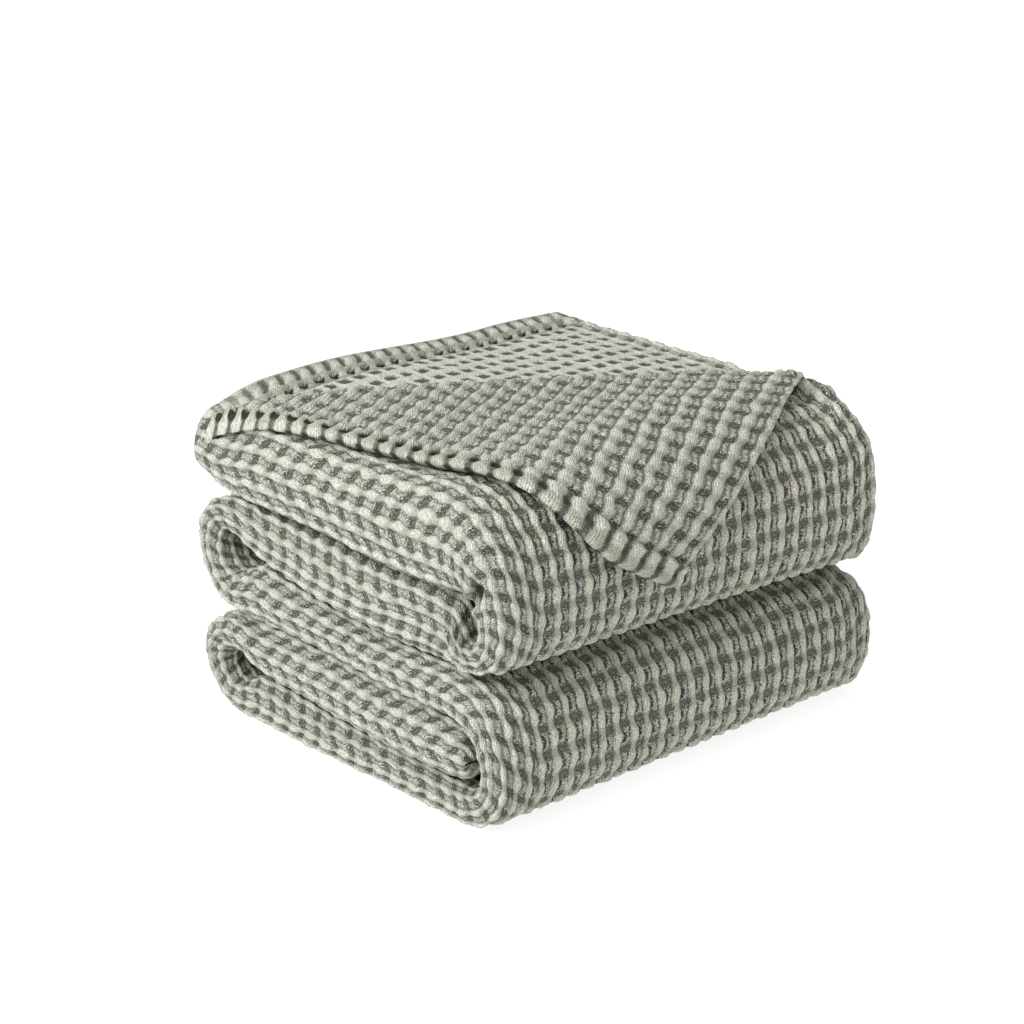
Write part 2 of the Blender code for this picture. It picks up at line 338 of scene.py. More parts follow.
@dataclass(frozen=True)
class Settling:
    """The blanket's slight unevenness, which moves every point of it a little.

    Waves are in radians for each millimetre, and phases in radians. A pair of numbers is where a
    smooth change starts and ends.
    """

    # The folded blanket's own sizes
    strip_width: float = 308.0
    middle_y: float = -5.77
    top_height: float = 190.0
    top_run_underside: float = 135.0
    top_run_z: Pair = (140.0, 175.0)

    # Slow waves up and down, and to and fro
    sag: float = 2.0
    sag_wave_x: float = 0.0173
    sag_wave_y: float = 0.013
    sag_phase: float = 0.9
    lean: float = 2.6
    lean_wave_x: float = 0.0157
    lean_wave_y: float = 0.0092
    lean_phase: float = 0.4

    # The spines in and out
    side_swell: float = 1.6
    side_wave_y: float = 0.027
    side_wave_z: float = 0.071
    side_swell_power: int = 4

    # The top run's fuller back half
    back_swell: float = 6.5
    back_swell_x: float = -55.0
    back_swell_reach: float = 125.0
    back_swell_y: Pair = (-60.0, 115.0)
    back_swell_z: Pair = (145.0, 190.0)

    # The slant of the crease between the two rolls
    roll_tilt: float = 4.0
    roll_crease: float = 89.0
    roll_tilt_reach: float = 75.0
    roll_tilt_front: Pair = (20.0, 90.0)

    # Where the top run sinks: its back left corner, its right side, and under the fold's end
    corner_drop: float = 8.0
    corner_drop_left: Pair = (100.0, 152.0)
    corner_drop_y: Pair = (70.0, 130.0)
    side_drop: float = 2.5
    side_drop_x: Pair = (80.0, 150.0)
    side_drop_y: Pair = (-110.0, -60.0)
    crest_dip: float = 6.5
    crest_dip_y: float = -59.0
    crest_dip_reach: float = 18.0

    def move(self, x: np.ndarray, y: np.ndarray, z: np.ndarray) -> np.ndarray:
        """Settle the cloth.

        Args:
            x: the points' places along the rolls, in millimetres, as are y and z.
            y: their places from front to back.
            z: their heights.

        Returns:
            The moved points in metres, on a last axis of three.
        """
        z = np.maximum(z, 0.0)
        height = z / self.top_height
        sag = self.sag * height * np.sin(self.sag_wave_x * x + self.sag_phase)
        sag = sag * np.cos(self.sag_wave_y * y)
        lean = np.sin(self.lean_wave_x * x - self.lean_wave_y * y + self.lean_phase)
        lean = self.lean * height * lean
        swell = self.side_swell * np.sin(self.side_wave_z * z + self.side_wave_y * y)
        lit_side = (2 * np.abs(x) / self.strip_width) ** self.side_swell_power
        heap = 1 - smoothstep(0.0, self.back_swell_reach, np.abs(x - self.back_swell_x))
        lift = self.back_swell * heap * smoothstep(*self.back_swell_y, y)
        lift = lift * smoothstep(*self.back_swell_z, z)
        near_crease = 1 - smoothstep(0.0, self.roll_tilt_reach, np.abs(z - self.roll_crease))
        tilt = -self.roll_tilt * 2 * x / self.strip_width * near_crease
        tilt = tilt * smoothstep(*self.roll_tilt_front, -y)
        on_top = smoothstep(*self.top_run_z, z)
        corner = smoothstep(*self.corner_drop_left, -x) * smoothstep(*self.corner_drop_y, y)
        dip = self.crest_dip * np.exp(-((y - self.crest_dip_y) / self.crest_dip_reach) ** 2)
        right = smoothstep(*self.side_drop_x, x) * on_top
        right = right * (self.side_drop * smoothstep(*self.side_drop_y, y) + dip)
        z = z + sag + lift + tilt - self.corner_drop * (corner * on_top) - right
        return np.stack((x + np.sign(x) * swell * lit_side, y + lean - self.middle_y, z), -1) * MM


@dataclass(frozen=True)
class Weave:
    """The waffle weave: ribs along the cloth, lower floats across them, and pits between.

    Heights and the rib pitch are in millimetres, and widths across the ribs in ribs. A pair of
    numbers is where a smooth change starts and ends.
    """

    rib_pitch: float = 11.85
    cell_length: float = 15.2
    mean_height: float = 1.9
    rib_offset: float = 0.37
    wander: float = 0.050

    # Ribs, floats and the honeycomb face
    rib_height: float = 2.5
    rib_half_width: float = 0.215
    rib_swell: float = 0.15
    rib_flank: Pair = (0.30, 1.30)
    float_height: float = 1.7
    float_half_width: float = 0.30
    float_flank: Pair = (0.45, 1.25)
    float_dome: Pair = (0.0, 0.5)
    comb_height: float = 0.9
    comb_pit_across: Pair = (0.10, 0.70)
    comb_pit_along: Pair = (0.25, 0.80)

    # Hems, with their twisted bars and the holes between them, whose shade is painted
    hem_lean: float = 0.5
    hem_half_width: float = 0.34
    hem_height: float = 2.5
    hem_relief: float = 0.20
    hem_rope: float = 0.22
    hem_rope_turns: float = 2.0
    hem_rope_shift: float = 0.37
    hole_depth: float = 1.5
    hole_cover: float = 0.9

    # Unevenness of each
    row_drift: Unevenness = Unevenness(0.09, 2.3, 3)
    row_shake: Unevenness = Unevenness(0.07, 0.9, 4)
    rib_twist: Unevenness = Unevenness(1.5, 3.1, 5)
    rib_shake: Unevenness = Unevenness(0.10, 0.8, 6)
    rib_widths: Unevenness = Unevenness(0.22, 0.6, 7)
    float_widths: Unevenness = Unevenness(0.12, 0.7, 8)
    rib_lumps: Unevenness = Unevenness(0.12, 0.7, 9)
    float_lumps: Unevenness = Unevenness(0.18, 0.9, 10)
    comb_shake: Unevenness = Unevenness(0.15, 0.6, 11)
    yarn_lumps: Unevenness = Unevenness(0.35, 0.27, 12)
    comb_lumps: Unevenness = Unevenness(0.15, 0.5, 13)
    fibre_lumps: Unevenness = Unevenness(0.3, 0.14, 14)

    def fields(self, u: np.ndarray, v: np.ndarray, honeycomb: np.ndarray,
               hem: np.ndarray, hole_and_shade: np.ndarray) -> dict[str, np.ndarray]:
        """Relief of the weave, and the place of each point among its yarns.

        Args:
            u: ribs counted round the strip.
            v: cells counted along the ribs.
            honeycomb: 1 where the floats stand as high as the ribs, else 0.
            hem: 1 where the cloth is doubled in a hem, else 0.
            hole_and_shade: 1 in openings between ribs and where shade is painted, else 0.

        Returns:
            height in millimetres over the mean; centre and row, whole numbers on the middles of
            ribs and of floats; and painted_shade, the share of the painted shade that shows.
        """
        row = v + self.row_drift.at(u, v) + self.row_shake.at(u, v)
        light_row = np.cos(2 * pi * row)
        centre = u + self.rib_offset
        centre = centre + self.wander * np.sin(2 * pi * row + self.rib_twist.at(u, v))
        centre = centre + self.rib_shake.at(u, v) + self.hem_lean * hem * v
        offset = np.abs(centre - np.round(centre))
        half = 1 + self.rib_swell * light_row + self.rib_widths.at(u, v)
        half = self.rib_half_width * half
        half = half + (self.hem_half_width - half) * hem
        rib = 1 - smoothstep(*self.rib_flank, offset / half)
        lumps = 1 + self.rib_swell * light_row + self.rib_lumps.at(u, v)
        inward = np.clip((offset - half) / (0.5 - half), 0.0, 1.0)
        height = np.maximum(self.rib_height * rib * lumps, self._floats(u, v, row, inward))
        height = height + (self._comb(u, v, centre, light_row) - height) * honeycomb
        height = height + (self._bars(v, centre, rib, hole_and_shade) - height) * hem
        height = height - self.mean_height + self.yarn_lumps.at(u, v) + self.fibre_lumps.at(u, v)
        # Painted shade, less where a hem's rib covers the opening.
        shown = np.clip(hole_and_shade * (1 - self.hole_cover * rib * hem), 0.0, 1.0)
        return {"height": height, "centre": centre, "row": row, "painted_shade": shown}

    def _floats(self, u: np.ndarray, v: np.ndarray, row: np.ndarray,
                inward: np.ndarray) -> np.ndarray:
        """Heights of the floats that cross from rib to rib.

        Args:
            u: ribs counted round the strip.
            v: cells counted along the ribs.
            row: whole numbers on the middles of the floats.
            inward: from 0 at a rib's side to 1 midway between two ribs.

        Returns:
            The heights, in millimetres.
        """
        span = self.float_half_width * (1 + self.float_widths.at(u, v))
        across = 1 - smoothstep(*self.float_flank, np.abs(row - np.round(row)) / span)
        domed = smoothstep(*self.float_dome, inward)
        return self.float_height * across * domed * (1 + self.float_lumps.at(u, v))

    def _comb(self, u: np.ndarray, v: np.ndarray, centre: np.ndarray,
              light_row: np.ndarray) -> np.ndarray:
        """Heights of the honeycomb face, whose floats stand as high as its ribs.

        Args:
            u: ribs counted round the strip.
            v: cells counted along the ribs.
            centre: whole numbers on the middles of the ribs.
            light_row: 1 on the middles of the floats, and -1 midway between them.

        Returns:
            The heights, in millimetres.
        """
        pit = smoothstep(*self.comb_pit_across, np.sin(pi * centre) ** 2)
        pit = pit * smoothstep(*self.comb_pit_along, 0.5 - 0.5 * light_row)
        comb = 1 - pit + self.comb_shake.at(u, v)
        return self.comb_height * comb * (1 + self.comb_lumps.at(u, v))

    def _bars(self, v: np.ndarray, centre: np.ndarray, rib: np.ndarray,
              hole_and_shade: np.ndarray) -> np.ndarray:
        """Heights of a hem, with its twisted bars and the holes between them.

        Args:
            v: cells counted along the ribs.
            centre: whole numbers on the middles of the ribs.
            rib: 1 on a rib, and 0 between two.
            hole_and_shade: 1 in openings between ribs and where shade is painted.

        Returns:
            The heights, in millimetres.
        """
        turns = self.hem_rope_turns * v + self.hem_rope_shift * np.round(centre)
        rope = 1 + self.hem_rope * np.sin(2 * pi * turns)
        bars = self.hem_height * (1 - self.hem_relief * (1 - rib * rope))
        return bars - (self.hem_height + self.hole_depth) * (np.minimum(hole_and_shade, 1.0) * (1 - rib))


@dataclass
class ClothPatch:
    """One sheet of cloth as a net of points, before its weave is raised.

    Attributes:
        name: the piece's name.
        u: ribs counted across the net's columns, one more beyond either side.
        v: cells counted along the net's rows, one more beyond either end.
        points: the smooth sheet in metres, on the same net.
        flat: width and length of the sheet laid flat, in metres.
        raised: how much of the weave's relief shows, from 0 to 1.
        honeycomb: 1 where the floats stand as high as the ribs.
        hem: 1 where the cloth is doubled in a hem.
        hole_and_shade: 1 where a hem opens between its ribs, and where shade is painted.
        extra: height added to the relief, in millimetres.
    """

    name: str
    u: np.ndarray
    v: np.ndarray
    points: np.ndarray
    flat: Pair
    raised: np.ndarray
    honeycomb: np.ndarray
    hem: np.ndarray
    hole_and_shade: np.ndarray
    extra: np.ndarray

    def build(self, weave: Weave, material: bpy.types.Material) -> bpy.types.Object:
        """Raise the weave on the sheet and make the piece.

        Args:
            weave: the relief.
            material: the finish.

        Returns:
            The finished object, riding on the body.
        """
        fields = weave.fields(self.u, self.v, self.honeycomb, self.hem, self.hole_and_shade)
        along, across = np.gradient(self.points, axis=0), np.gradient(self.points, axis=1)
        normal = np.cross(across, along)
        normal /= np.maximum(np.linalg.norm(normal, axis=-1, keepdims=True), LEAST_LENGTH)
        cells = np.maximum(np.abs(np.gradient(self.v, axis=0)), LEAST_CELLS)
        crowding = np.linalg.norm(along, axis=-1) / (cells * weave.cell_length * MM)
        share = self.raised * np.clip(crowding, 0.0, 1.0)
        lifted = self.points + normal * ((fields["height"] * share + self.extra) * MM)[..., None]
        kinds = np.stack([self.honeycomb, self.hem, fields["painted_shade"]], -1)
        places = np.stack([fields["centre"], fields["row"]], -1)
        inner = (slice(1, -1), slice(1, -1))
        piece = self._net(lifted[inner])
        self._paint(piece, places[inner], kinds[inner])
        piece.data.materials.append(material)
        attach(piece, BODY)
        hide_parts(NODE)
        LOG.info("%s: %d faces, %.0f x %.0f mm flat", self.name, len(piece.data.polygons),
                 self.flat[0] / MM, self.flat[1] / MM)
        return piece

    def _net(self, points: np.ndarray) -> bpy.types.Object:
        """Make a grid and move its vertices to the points.

        Args:
            points: the sheet in metres, rows by columns.

        Returns:
            The object, linked to the scene.
        """
        rows, columns = points.shape[:2]
        mesh = bmesh.new()
        bmesh.ops.create_grid(mesh, x_segments=columns - 1, y_segments=rows - 1, size=1.0)
        data = bpy.data.meshes.new(self.name)
        mesh.to_mesh(data)
        mesh.free()
        data.vertices.foreach_set("co", points.astype(np.float32).ravel())
        data.shade_smooth()
        data.update()
        piece = bpy.data.objects.new(self.name, data)
        bpy.context.scene.collection.objects.link(piece)
        return piece

    @staticmethod
    def _paint(piece: bpy.types.Object, places: np.ndarray, kinds: np.ndarray) -> None:
        """Store the place among the yarns and the kinds of cloth on the mesh.

        Args:
            piece: the sheet's object.
            places: centre and row for each vertex, for its UV map.
            kinds: honeycomb, hem and painted shade for each vertex, for its attribute.
        """
        data = piece.data
        corners = np.empty(len(data.loops), dtype=np.int32)
        data.loops.foreach_get("vertex_index", corners)
        layer = data.uv_layers.new(name="weave")
        places = places.reshape(-1, 2)[corners]
        layer.uv.foreach_set("vector", places.astype(np.float32).ravel())
        attribute = data.attributes.new("cloth", "FLOAT_VECTOR", "POINT")
        attribute.data.foreach_set("vector", kinds.astype(np.float32).ravel())


@dataclass
class FoldedStrip:
    """The strip of four plies in its five runs, as the outer side of its cloth.

    Places across the strip are in ribs, places along it in cells, and depths and roundings in
    millimetres. A pair of numbers is where a smooth change starts and ends.
    """

    settling: Settling = Settling()
    weave: Weave = Weave()

    # The strip's shape
    ribs_on_face: float = 10.5
    ribs_to_back_face: float = 18.5
    face_edge: Pair = (9.5, 12.5)
    spine_rounding: float = 17.0
    spine_squareness: float = 0.8
    spine_points: int = 80
    spine_slant: float = 0.45
    first_section: float = 0.9

    # How the skin is divided, how finely, and where its relief fades
    table_steps: int = 24
    steps_across: float = 11.0
    hidden_steps_share: float = 0.6
    past_roll: float = 1.0
    past_lobe: float = 1.5
    side_cut: float = 2.0
    hidden_fade: float = 1.0
    start_fade: float = 1.0
    end_fade: float = 0.3
    honeycomb_fade: Pair = (11.0, 15.0)

    # The back end's hem and stitching, and shade painted in its openings, seam and ply gaps
    hem_cells: float = 1.9
    hem_edge: float = 0.1
    hem_lift: float = 0.5
    hem_lift_cells: float = 2.4
    hem_nose_cells: float = 0.3
    opening: float = 0.62
    opening_begins: Pair = (0.10, 0.35)
    opening_ends: Pair = (1.05, 1.40)
    stitch_cells: float = 0.20
    stitch_depth: float = 3.0
    seam_cells: float = 0.20
    seam_half_cells: float = 0.07
    seam_shade: float = 2.2
    seam_shake: Unevenness = Unevenness(0.6, 0.5, 15)
    gap_shade: float = 1.2

    def __post_init__(self) -> None:
        """Measure the route: cells travelled at each section, and at each run's start."""
        self.sections = np.array([row for run in ROUTE.values() for row in run])
        self.sections[:len(BACK_HEM_RISE), :2] += BACK_HEM_RISE
        last = len(self.sections) - 1
        self.positions = np.linspace(0.0, last, last * self.table_steps + 1)
        dense = catmull_rom(self.sections, self.positions)
        steps = np.maximum(lengths(dense[:, :2]), lengths(dense[:, 2:]))
        cells = distances(steps) / self.weave.cell_length
        self.cells = cells - np.interp(self.first_section, self.positions, cells)
        starts = np.cumsum([0] + [len(run) for run in ROUTE.values()])
        self.start_of = dict(zip(ROUTE, np.interp(starts, self.positions, self.cells)))
        self.end = float(self.cells[-1])

    def sections_at(self, v: np.ndarray) -> np.ndarray:
        """Rows like the route's own, for places along the strip in cells."""
        return catmull_rom(self.sections, np.interp(v, self.cells, self.positions))

    def skin(self, u: np.ndarray, v: np.ndarray) -> np.ndarray:
        """The strip's smooth outer side.

        Args:
            u: ribs counted round the strip, one for each column.
            v: cells counted along the route, one for each row.

        Returns:
            Points in metres, rows by columns.
        """
        rows = self.sections_at(v)
        turned = self._turned(u)
        side = np.where(turned < 0, -1.0, 1.0)
        x, height = np.empty((len(v), len(u))), np.empty((len(v), len(u)))
        thickness = np.hypot(rows[:, 0] - rows[:, 2], rows[:, 1] - rows[:, 3])
        for i, thick in enumerate(thickness):
            from_middle, height[i] = self._outline(thick, np.abs(turned))
            x[i] = side * from_middle
        mix = (1 + height) / 2
        y = rows[:, 2:3] + (rows[:, 0:1] - rows[:, 2:3]) * mix
        z = rows[:, 3:4] + (rows[:, 1:2] - rows[:, 3:4]) * mix
        return self.settling.move(x, y, z)

    def patch(self, name: str, ribs: Pair, start: float, stretches: list[tuple[float, Detail]],
              steps_share: float = 1.0) -> ClothPatch:
        """One sheet of the strip's skin.

        Args:
            name: the piece's name.
            ribs: the ribs between which it lies.
            start: the cell where it starts.
            stretches: rows of (cell where the stretch ends, how finely it is made).
            steps_share: share of the usual steps across the ribs.

        Returns:
            The sheet, before its weave is raised.
        """
        u = padded_steps([(ribs[1], self.steps_across * steps_share)], ribs[0])[::-1]
        v = padded_steps([(end, detail.value) for end, detail in stretches], start)
        net_u, net_v = np.meshgrid(u, v)
        on_face = 1 - smoothstep(*self.face_edge, np.abs(net_u))
        hem = 1 - smoothstep(self.hem_cells - self.hem_edge, self.hem_cells, net_v)
        hem = hem * on_face
        width = (ribs[1] - ribs[0]) * self.weave.rib_pitch
        length = (v[-2] - v[1]) * self.weave.cell_length
        return ClothPatch(
            name=name,
            u=net_u,
            v=net_v + self.spine_slant * self._into_spine(net_u),
            points=self.skin(u, v),
            flat=(width * MM, length * MM),
            raised=self._raised(net_v, start, stretches),
            honeycomb=(1 - smoothstep(*self.honeycomb_fade, net_v)) * on_face * (1 - hem),
            hem=hem,
            hole_and_shade=self._holes_and_shade(net_u, net_v, on_face),
            extra=self._presses(net_u, net_v, on_face),
        )

    def patches(self) -> list[ClothPatch]:
        """Divide the strip's skin into its sheets.

        Returns:
            The faces' three sheets, then the two on each side.
        """
        at = self.start_of
        face, back = self.ribs_on_face, self.ribs_to_back_face
        under_roll = at["second run"] + self.past_roll
        sheets = [
            self.patch("top_cloth", (-face, face), 0.0, [(under_roll, Detail.SHOWN)]),
            self.patch("lower_cloth", (-face, face), under_roll, [
                (at["lower roll"] - self.past_lobe, Detail.HIDDEN),
                (at["bottom run"] + self.past_roll, Detail.SHOWN),
                (at["bottom lobe"] - self.past_roll, Detail.UNDERSIDE),
                (at["inner run"] + self.past_lobe, Detail.BACK),
                (self.end, Detail.HIDDEN),
            ]),
            self.patch("inner_cloth", (back, RIBS_ROUND - back), 0.0, [
                (at["middle lobe"] - self.past_lobe, Detail.HIDDEN),
                (at["third run"] + self.past_lobe, Detail.BACK),
                (self.end, Detail.HIDDEN),
            ], steps_share=self.hidden_steps_share),
        ]
        cuts = [0.0, at["middle lobe"] + self.side_cut, self.end]
        sides = [
            ("left_side", (-back, -face), Detail.SHOWN),
            ("right_side", (face, back), Detail.BACK),
        ]
        for side, ribs, detail in sides:
            for part, begin, end in zip(("upper", "lower"), cuts, cuts[1:]):
                sheets.append(self.patch(f"{side}_{part}", ribs, begin, [(end, detail)]))
        return sheets

    @staticmethod
    def _turned(u: np.ndarray) -> np.ndarray:
        """Ribs counted the shorter way round, from the middle of the outer side."""
        return np.mod(u + RIBS_ROUND / 2, RIBS_ROUND) - RIBS_ROUND / 2

    def _outline(self, thick: float, ribs: np.ndarray) -> tuple[np.ndarray, np.ndarray]:
        """Follow one half of a section's outline, from its outer side round to its inner side.

        Args:
            thick: the section's thickness, in millimetres.
            ribs: ribs counted from the middle of the outer side.

        Returns:
            Millimetres from the section's middle, and height from -1 to 1, for each rib.
        """
        face_ribs, half_round = self.ribs_on_face, RIBS_ROUND / 2
        on_face = face_ribs * self.weave.rib_pitch
        turn = np.linspace(0.0, pi, self.spine_points)
        rounding = min(thick / 2, self.spine_rounding)
        face = self.settling.strip_width / 2 - rounding
        bulge = face + rounding * np.sin(turn) ** self.spine_squareness
        outline_x = np.concatenate([[0.0], bulge, [0.0]])
        outline_z = np.concatenate([[1.0], np.cos(turn), [-1.0]]) * thick / 2
        travelled = distances(lengths(np.stack([outline_x, outline_z], -1)))
        knots = [0.0, on_face, travelled[-1] - on_face, travelled[-1]]
        at = np.interp(ribs, [0.0, face_ribs, half_round - face_ribs, half_round], knots)
        height = np.interp(at, travelled, outline_z) / (thick / 2)
        return np.interp(at, travelled, outline_x), height

    def _into_spine(self, u: np.ndarray) -> np.ndarray:
        """Count the ribs from a spine's nearer edge.

        Args:
            u: ribs counted round the strip.

        Returns:
            The counts, 0 on the faces.
        """
        half_spine = (self.ribs_to_back_face - self.ribs_on_face) / 2
        from_middle = np.abs(np.abs(u) - (self.ribs_on_face + half_spine))
        return np.clip(half_spine - from_middle, 0.0, half_spine)

    def _raised(self, v: np.ndarray, start: float,
                stretches: list[tuple[float, Detail]]) -> np.ndarray:
        """How much of the relief shows: none where the cloth is hidden or ends.

        Args:
            v: cells counted along the route.
            start: the cell where the sheet starts.
            stretches: rows of (cell where the stretch ends, how finely it is made).

        Returns:
            Shares from 0 to 1.
        """
        hidden = np.zeros_like(v)
        begin, fade = start, self.hidden_fade
        for end, detail in stretches:
            if detail is Detail.HIDDEN:
                hidden += smoothstep(begin, begin + fade, v) * smoothstep(-end, fade - end, -v)
            begin = end
        raised = (1 - np.clip(hidden, 0.0, 1.0)) * smoothstep(0.0, self.start_fade, v)
        return raised * smoothstep(-self.end, self.end_fade - self.end, -v)

    def _presses(self, u: np.ndarray, v: np.ndarray, on_face: np.ndarray) -> np.ndarray:
        """Height that the hem, its stitching and the listed troughs add to the cloth.

        Args:
            u: ribs counted round the strip.
            v: cells counted along the route.
            on_face: 1 on the faces, and 0 on the spines.

        Returns:
            The heights, in millimetres.
        """
        stitched = np.exp(-((v - self.hem_cells) / self.stitch_cells) ** 2) * on_face
        lift = self.hem_lift * (1 - smoothstep(0.0, self.hem_lift_cells, v)) * on_face
        extra = lift * smoothstep(0.0, self.hem_nose_cells, v) - self.stitch_depth * stitched
        turned = self._turned(u)
        for rib, cell, rib_reach, cell_reach, depth in TROUGHS:
            extra = extra - depth * spot(turned, v, (rib, cell), (rib_reach, cell_reach))
        return extra

    def _holes_and_shade(self, u: np.ndarray, v: np.ndarray, on_face: np.ndarray) -> np.ndarray:
        """Where shade is painted: in the openings between the hem's bars, along its seam, in gaps.

        Args:
            u: ribs counted round the strip.
            v: cells counted along the route.
            on_face: 1 on the faces, and 0 on the spines.

        Returns:
            1 or more in the middle of painted shade, and 0 where none is painted.
        """
        # Painted shade along the seam, in the hem's openings and in the gaps between plies.
        seam = (v - self.hem_cells + self.seam_cells) / self.seam_half_cells
        seam = np.exp(-seam ** 2) * (1 + self.seam_shake.at(u, v))
        hole_and_shade = self.opening * smoothstep(*self.opening_begins, v)
        hole_and_shade = hole_and_shade * (1 - smoothstep(*self.opening_ends, v))
        hole_and_shade = (hole_and_shade + self.seam_shade * seam) * on_face
        turned = self._turned(u)
        for rib, cell, rib_reach, cell_reach in SHADED_GAPS:
            hole_and_shade = hole_and_shade + self.gap_shade * spot(turned, v, (rib, cell), (rib_reach, cell_reach))
        return hole_and_shade


@dataclass
class PlyEnds:
    """The plies' hemmed ends, one over the other, that close the top run's back end."""

    strip: FoldedStrip
    plies: int = 4
    lip: float = 7.0
    lip_power: float = 0.6
    bar_share: float = 0.25
    width_share: float = 0.999
    steps_up: int = 48
    steps_across: float = 9.0

    def patch(self) -> ClothPatch:
        """The ends as one sheet, with a lip for each ply.

        Returns:
            The sheet, whose bars are part of its smooth shape.
        """
        strip, pitch = self.strip, self.strip.weave.rib_pitch
        row = strip.sections_at(np.array([0.0]))[0]
        thick = float(np.hypot(row[0] - row[2], row[1] - row[3]))
        rounding = min(thick / 2, strip.spine_rounding)
        face = strip.settling.strip_width / 2 - rounding
        count = round(2 * (face + rounding) / pitch * self.steps_across)
        reach = (face + rounding) * self.width_share
        x = np.pad(np.linspace(-reach, reach, count + 1), 1, mode="edge")
        level = np.pad(np.linspace(-1.0, 1.0, self.steps_up + 1), 1, mode="edge")
        beyond = np.clip((np.abs(x) - face) / rounding, 0.0, 1.0) ** (1 / strip.spine_squareness)
        net_x, net_level = np.meshgrid(x, level)
        mix = (1 + net_level * np.sqrt(1 - beyond ** 2)) / 2
        lips = np.abs(np.sin(self.plies * pi * (net_level + 1) / 2)) ** self.lip_power
        short_of_end = 1 - smoothstep(face - 2 * self.lip, face + rounding / 2, np.abs(x))
        bars = 0.5 + 0.5 * np.cos(2 * pi * net_x / pitch)
        bulge = self.lip * lips * short_of_end * (1 - self.bar_share + self.bar_share * bars)
        outward = np.array([row[1] - row[3], row[2] - row[0]]) / thick
        y = row[2] + (row[0] - row[2]) * mix + outward[0] * bulge
        z = row[3] + (row[1] - row[3]) * mix + outward[1] * bulge
        nothing = np.zeros_like(net_x)
        return ClothPatch(
            name="ply_ends",
            u=(net_x / pitch)[::-1],
            v=(net_level * thick / 2 / strip.weave.cell_length)[::-1],
            points=strip.settling.move(net_x, y, z)[::-1],
            flat=(strip.settling.strip_width * MM, (thick + self.plies * self.lip) * MM),
            raised=nothing,
            honeycomb=nothing,
            hem=np.ones_like(net_x),
            hole_and_shade=nothing,
            extra=nothing,
        )


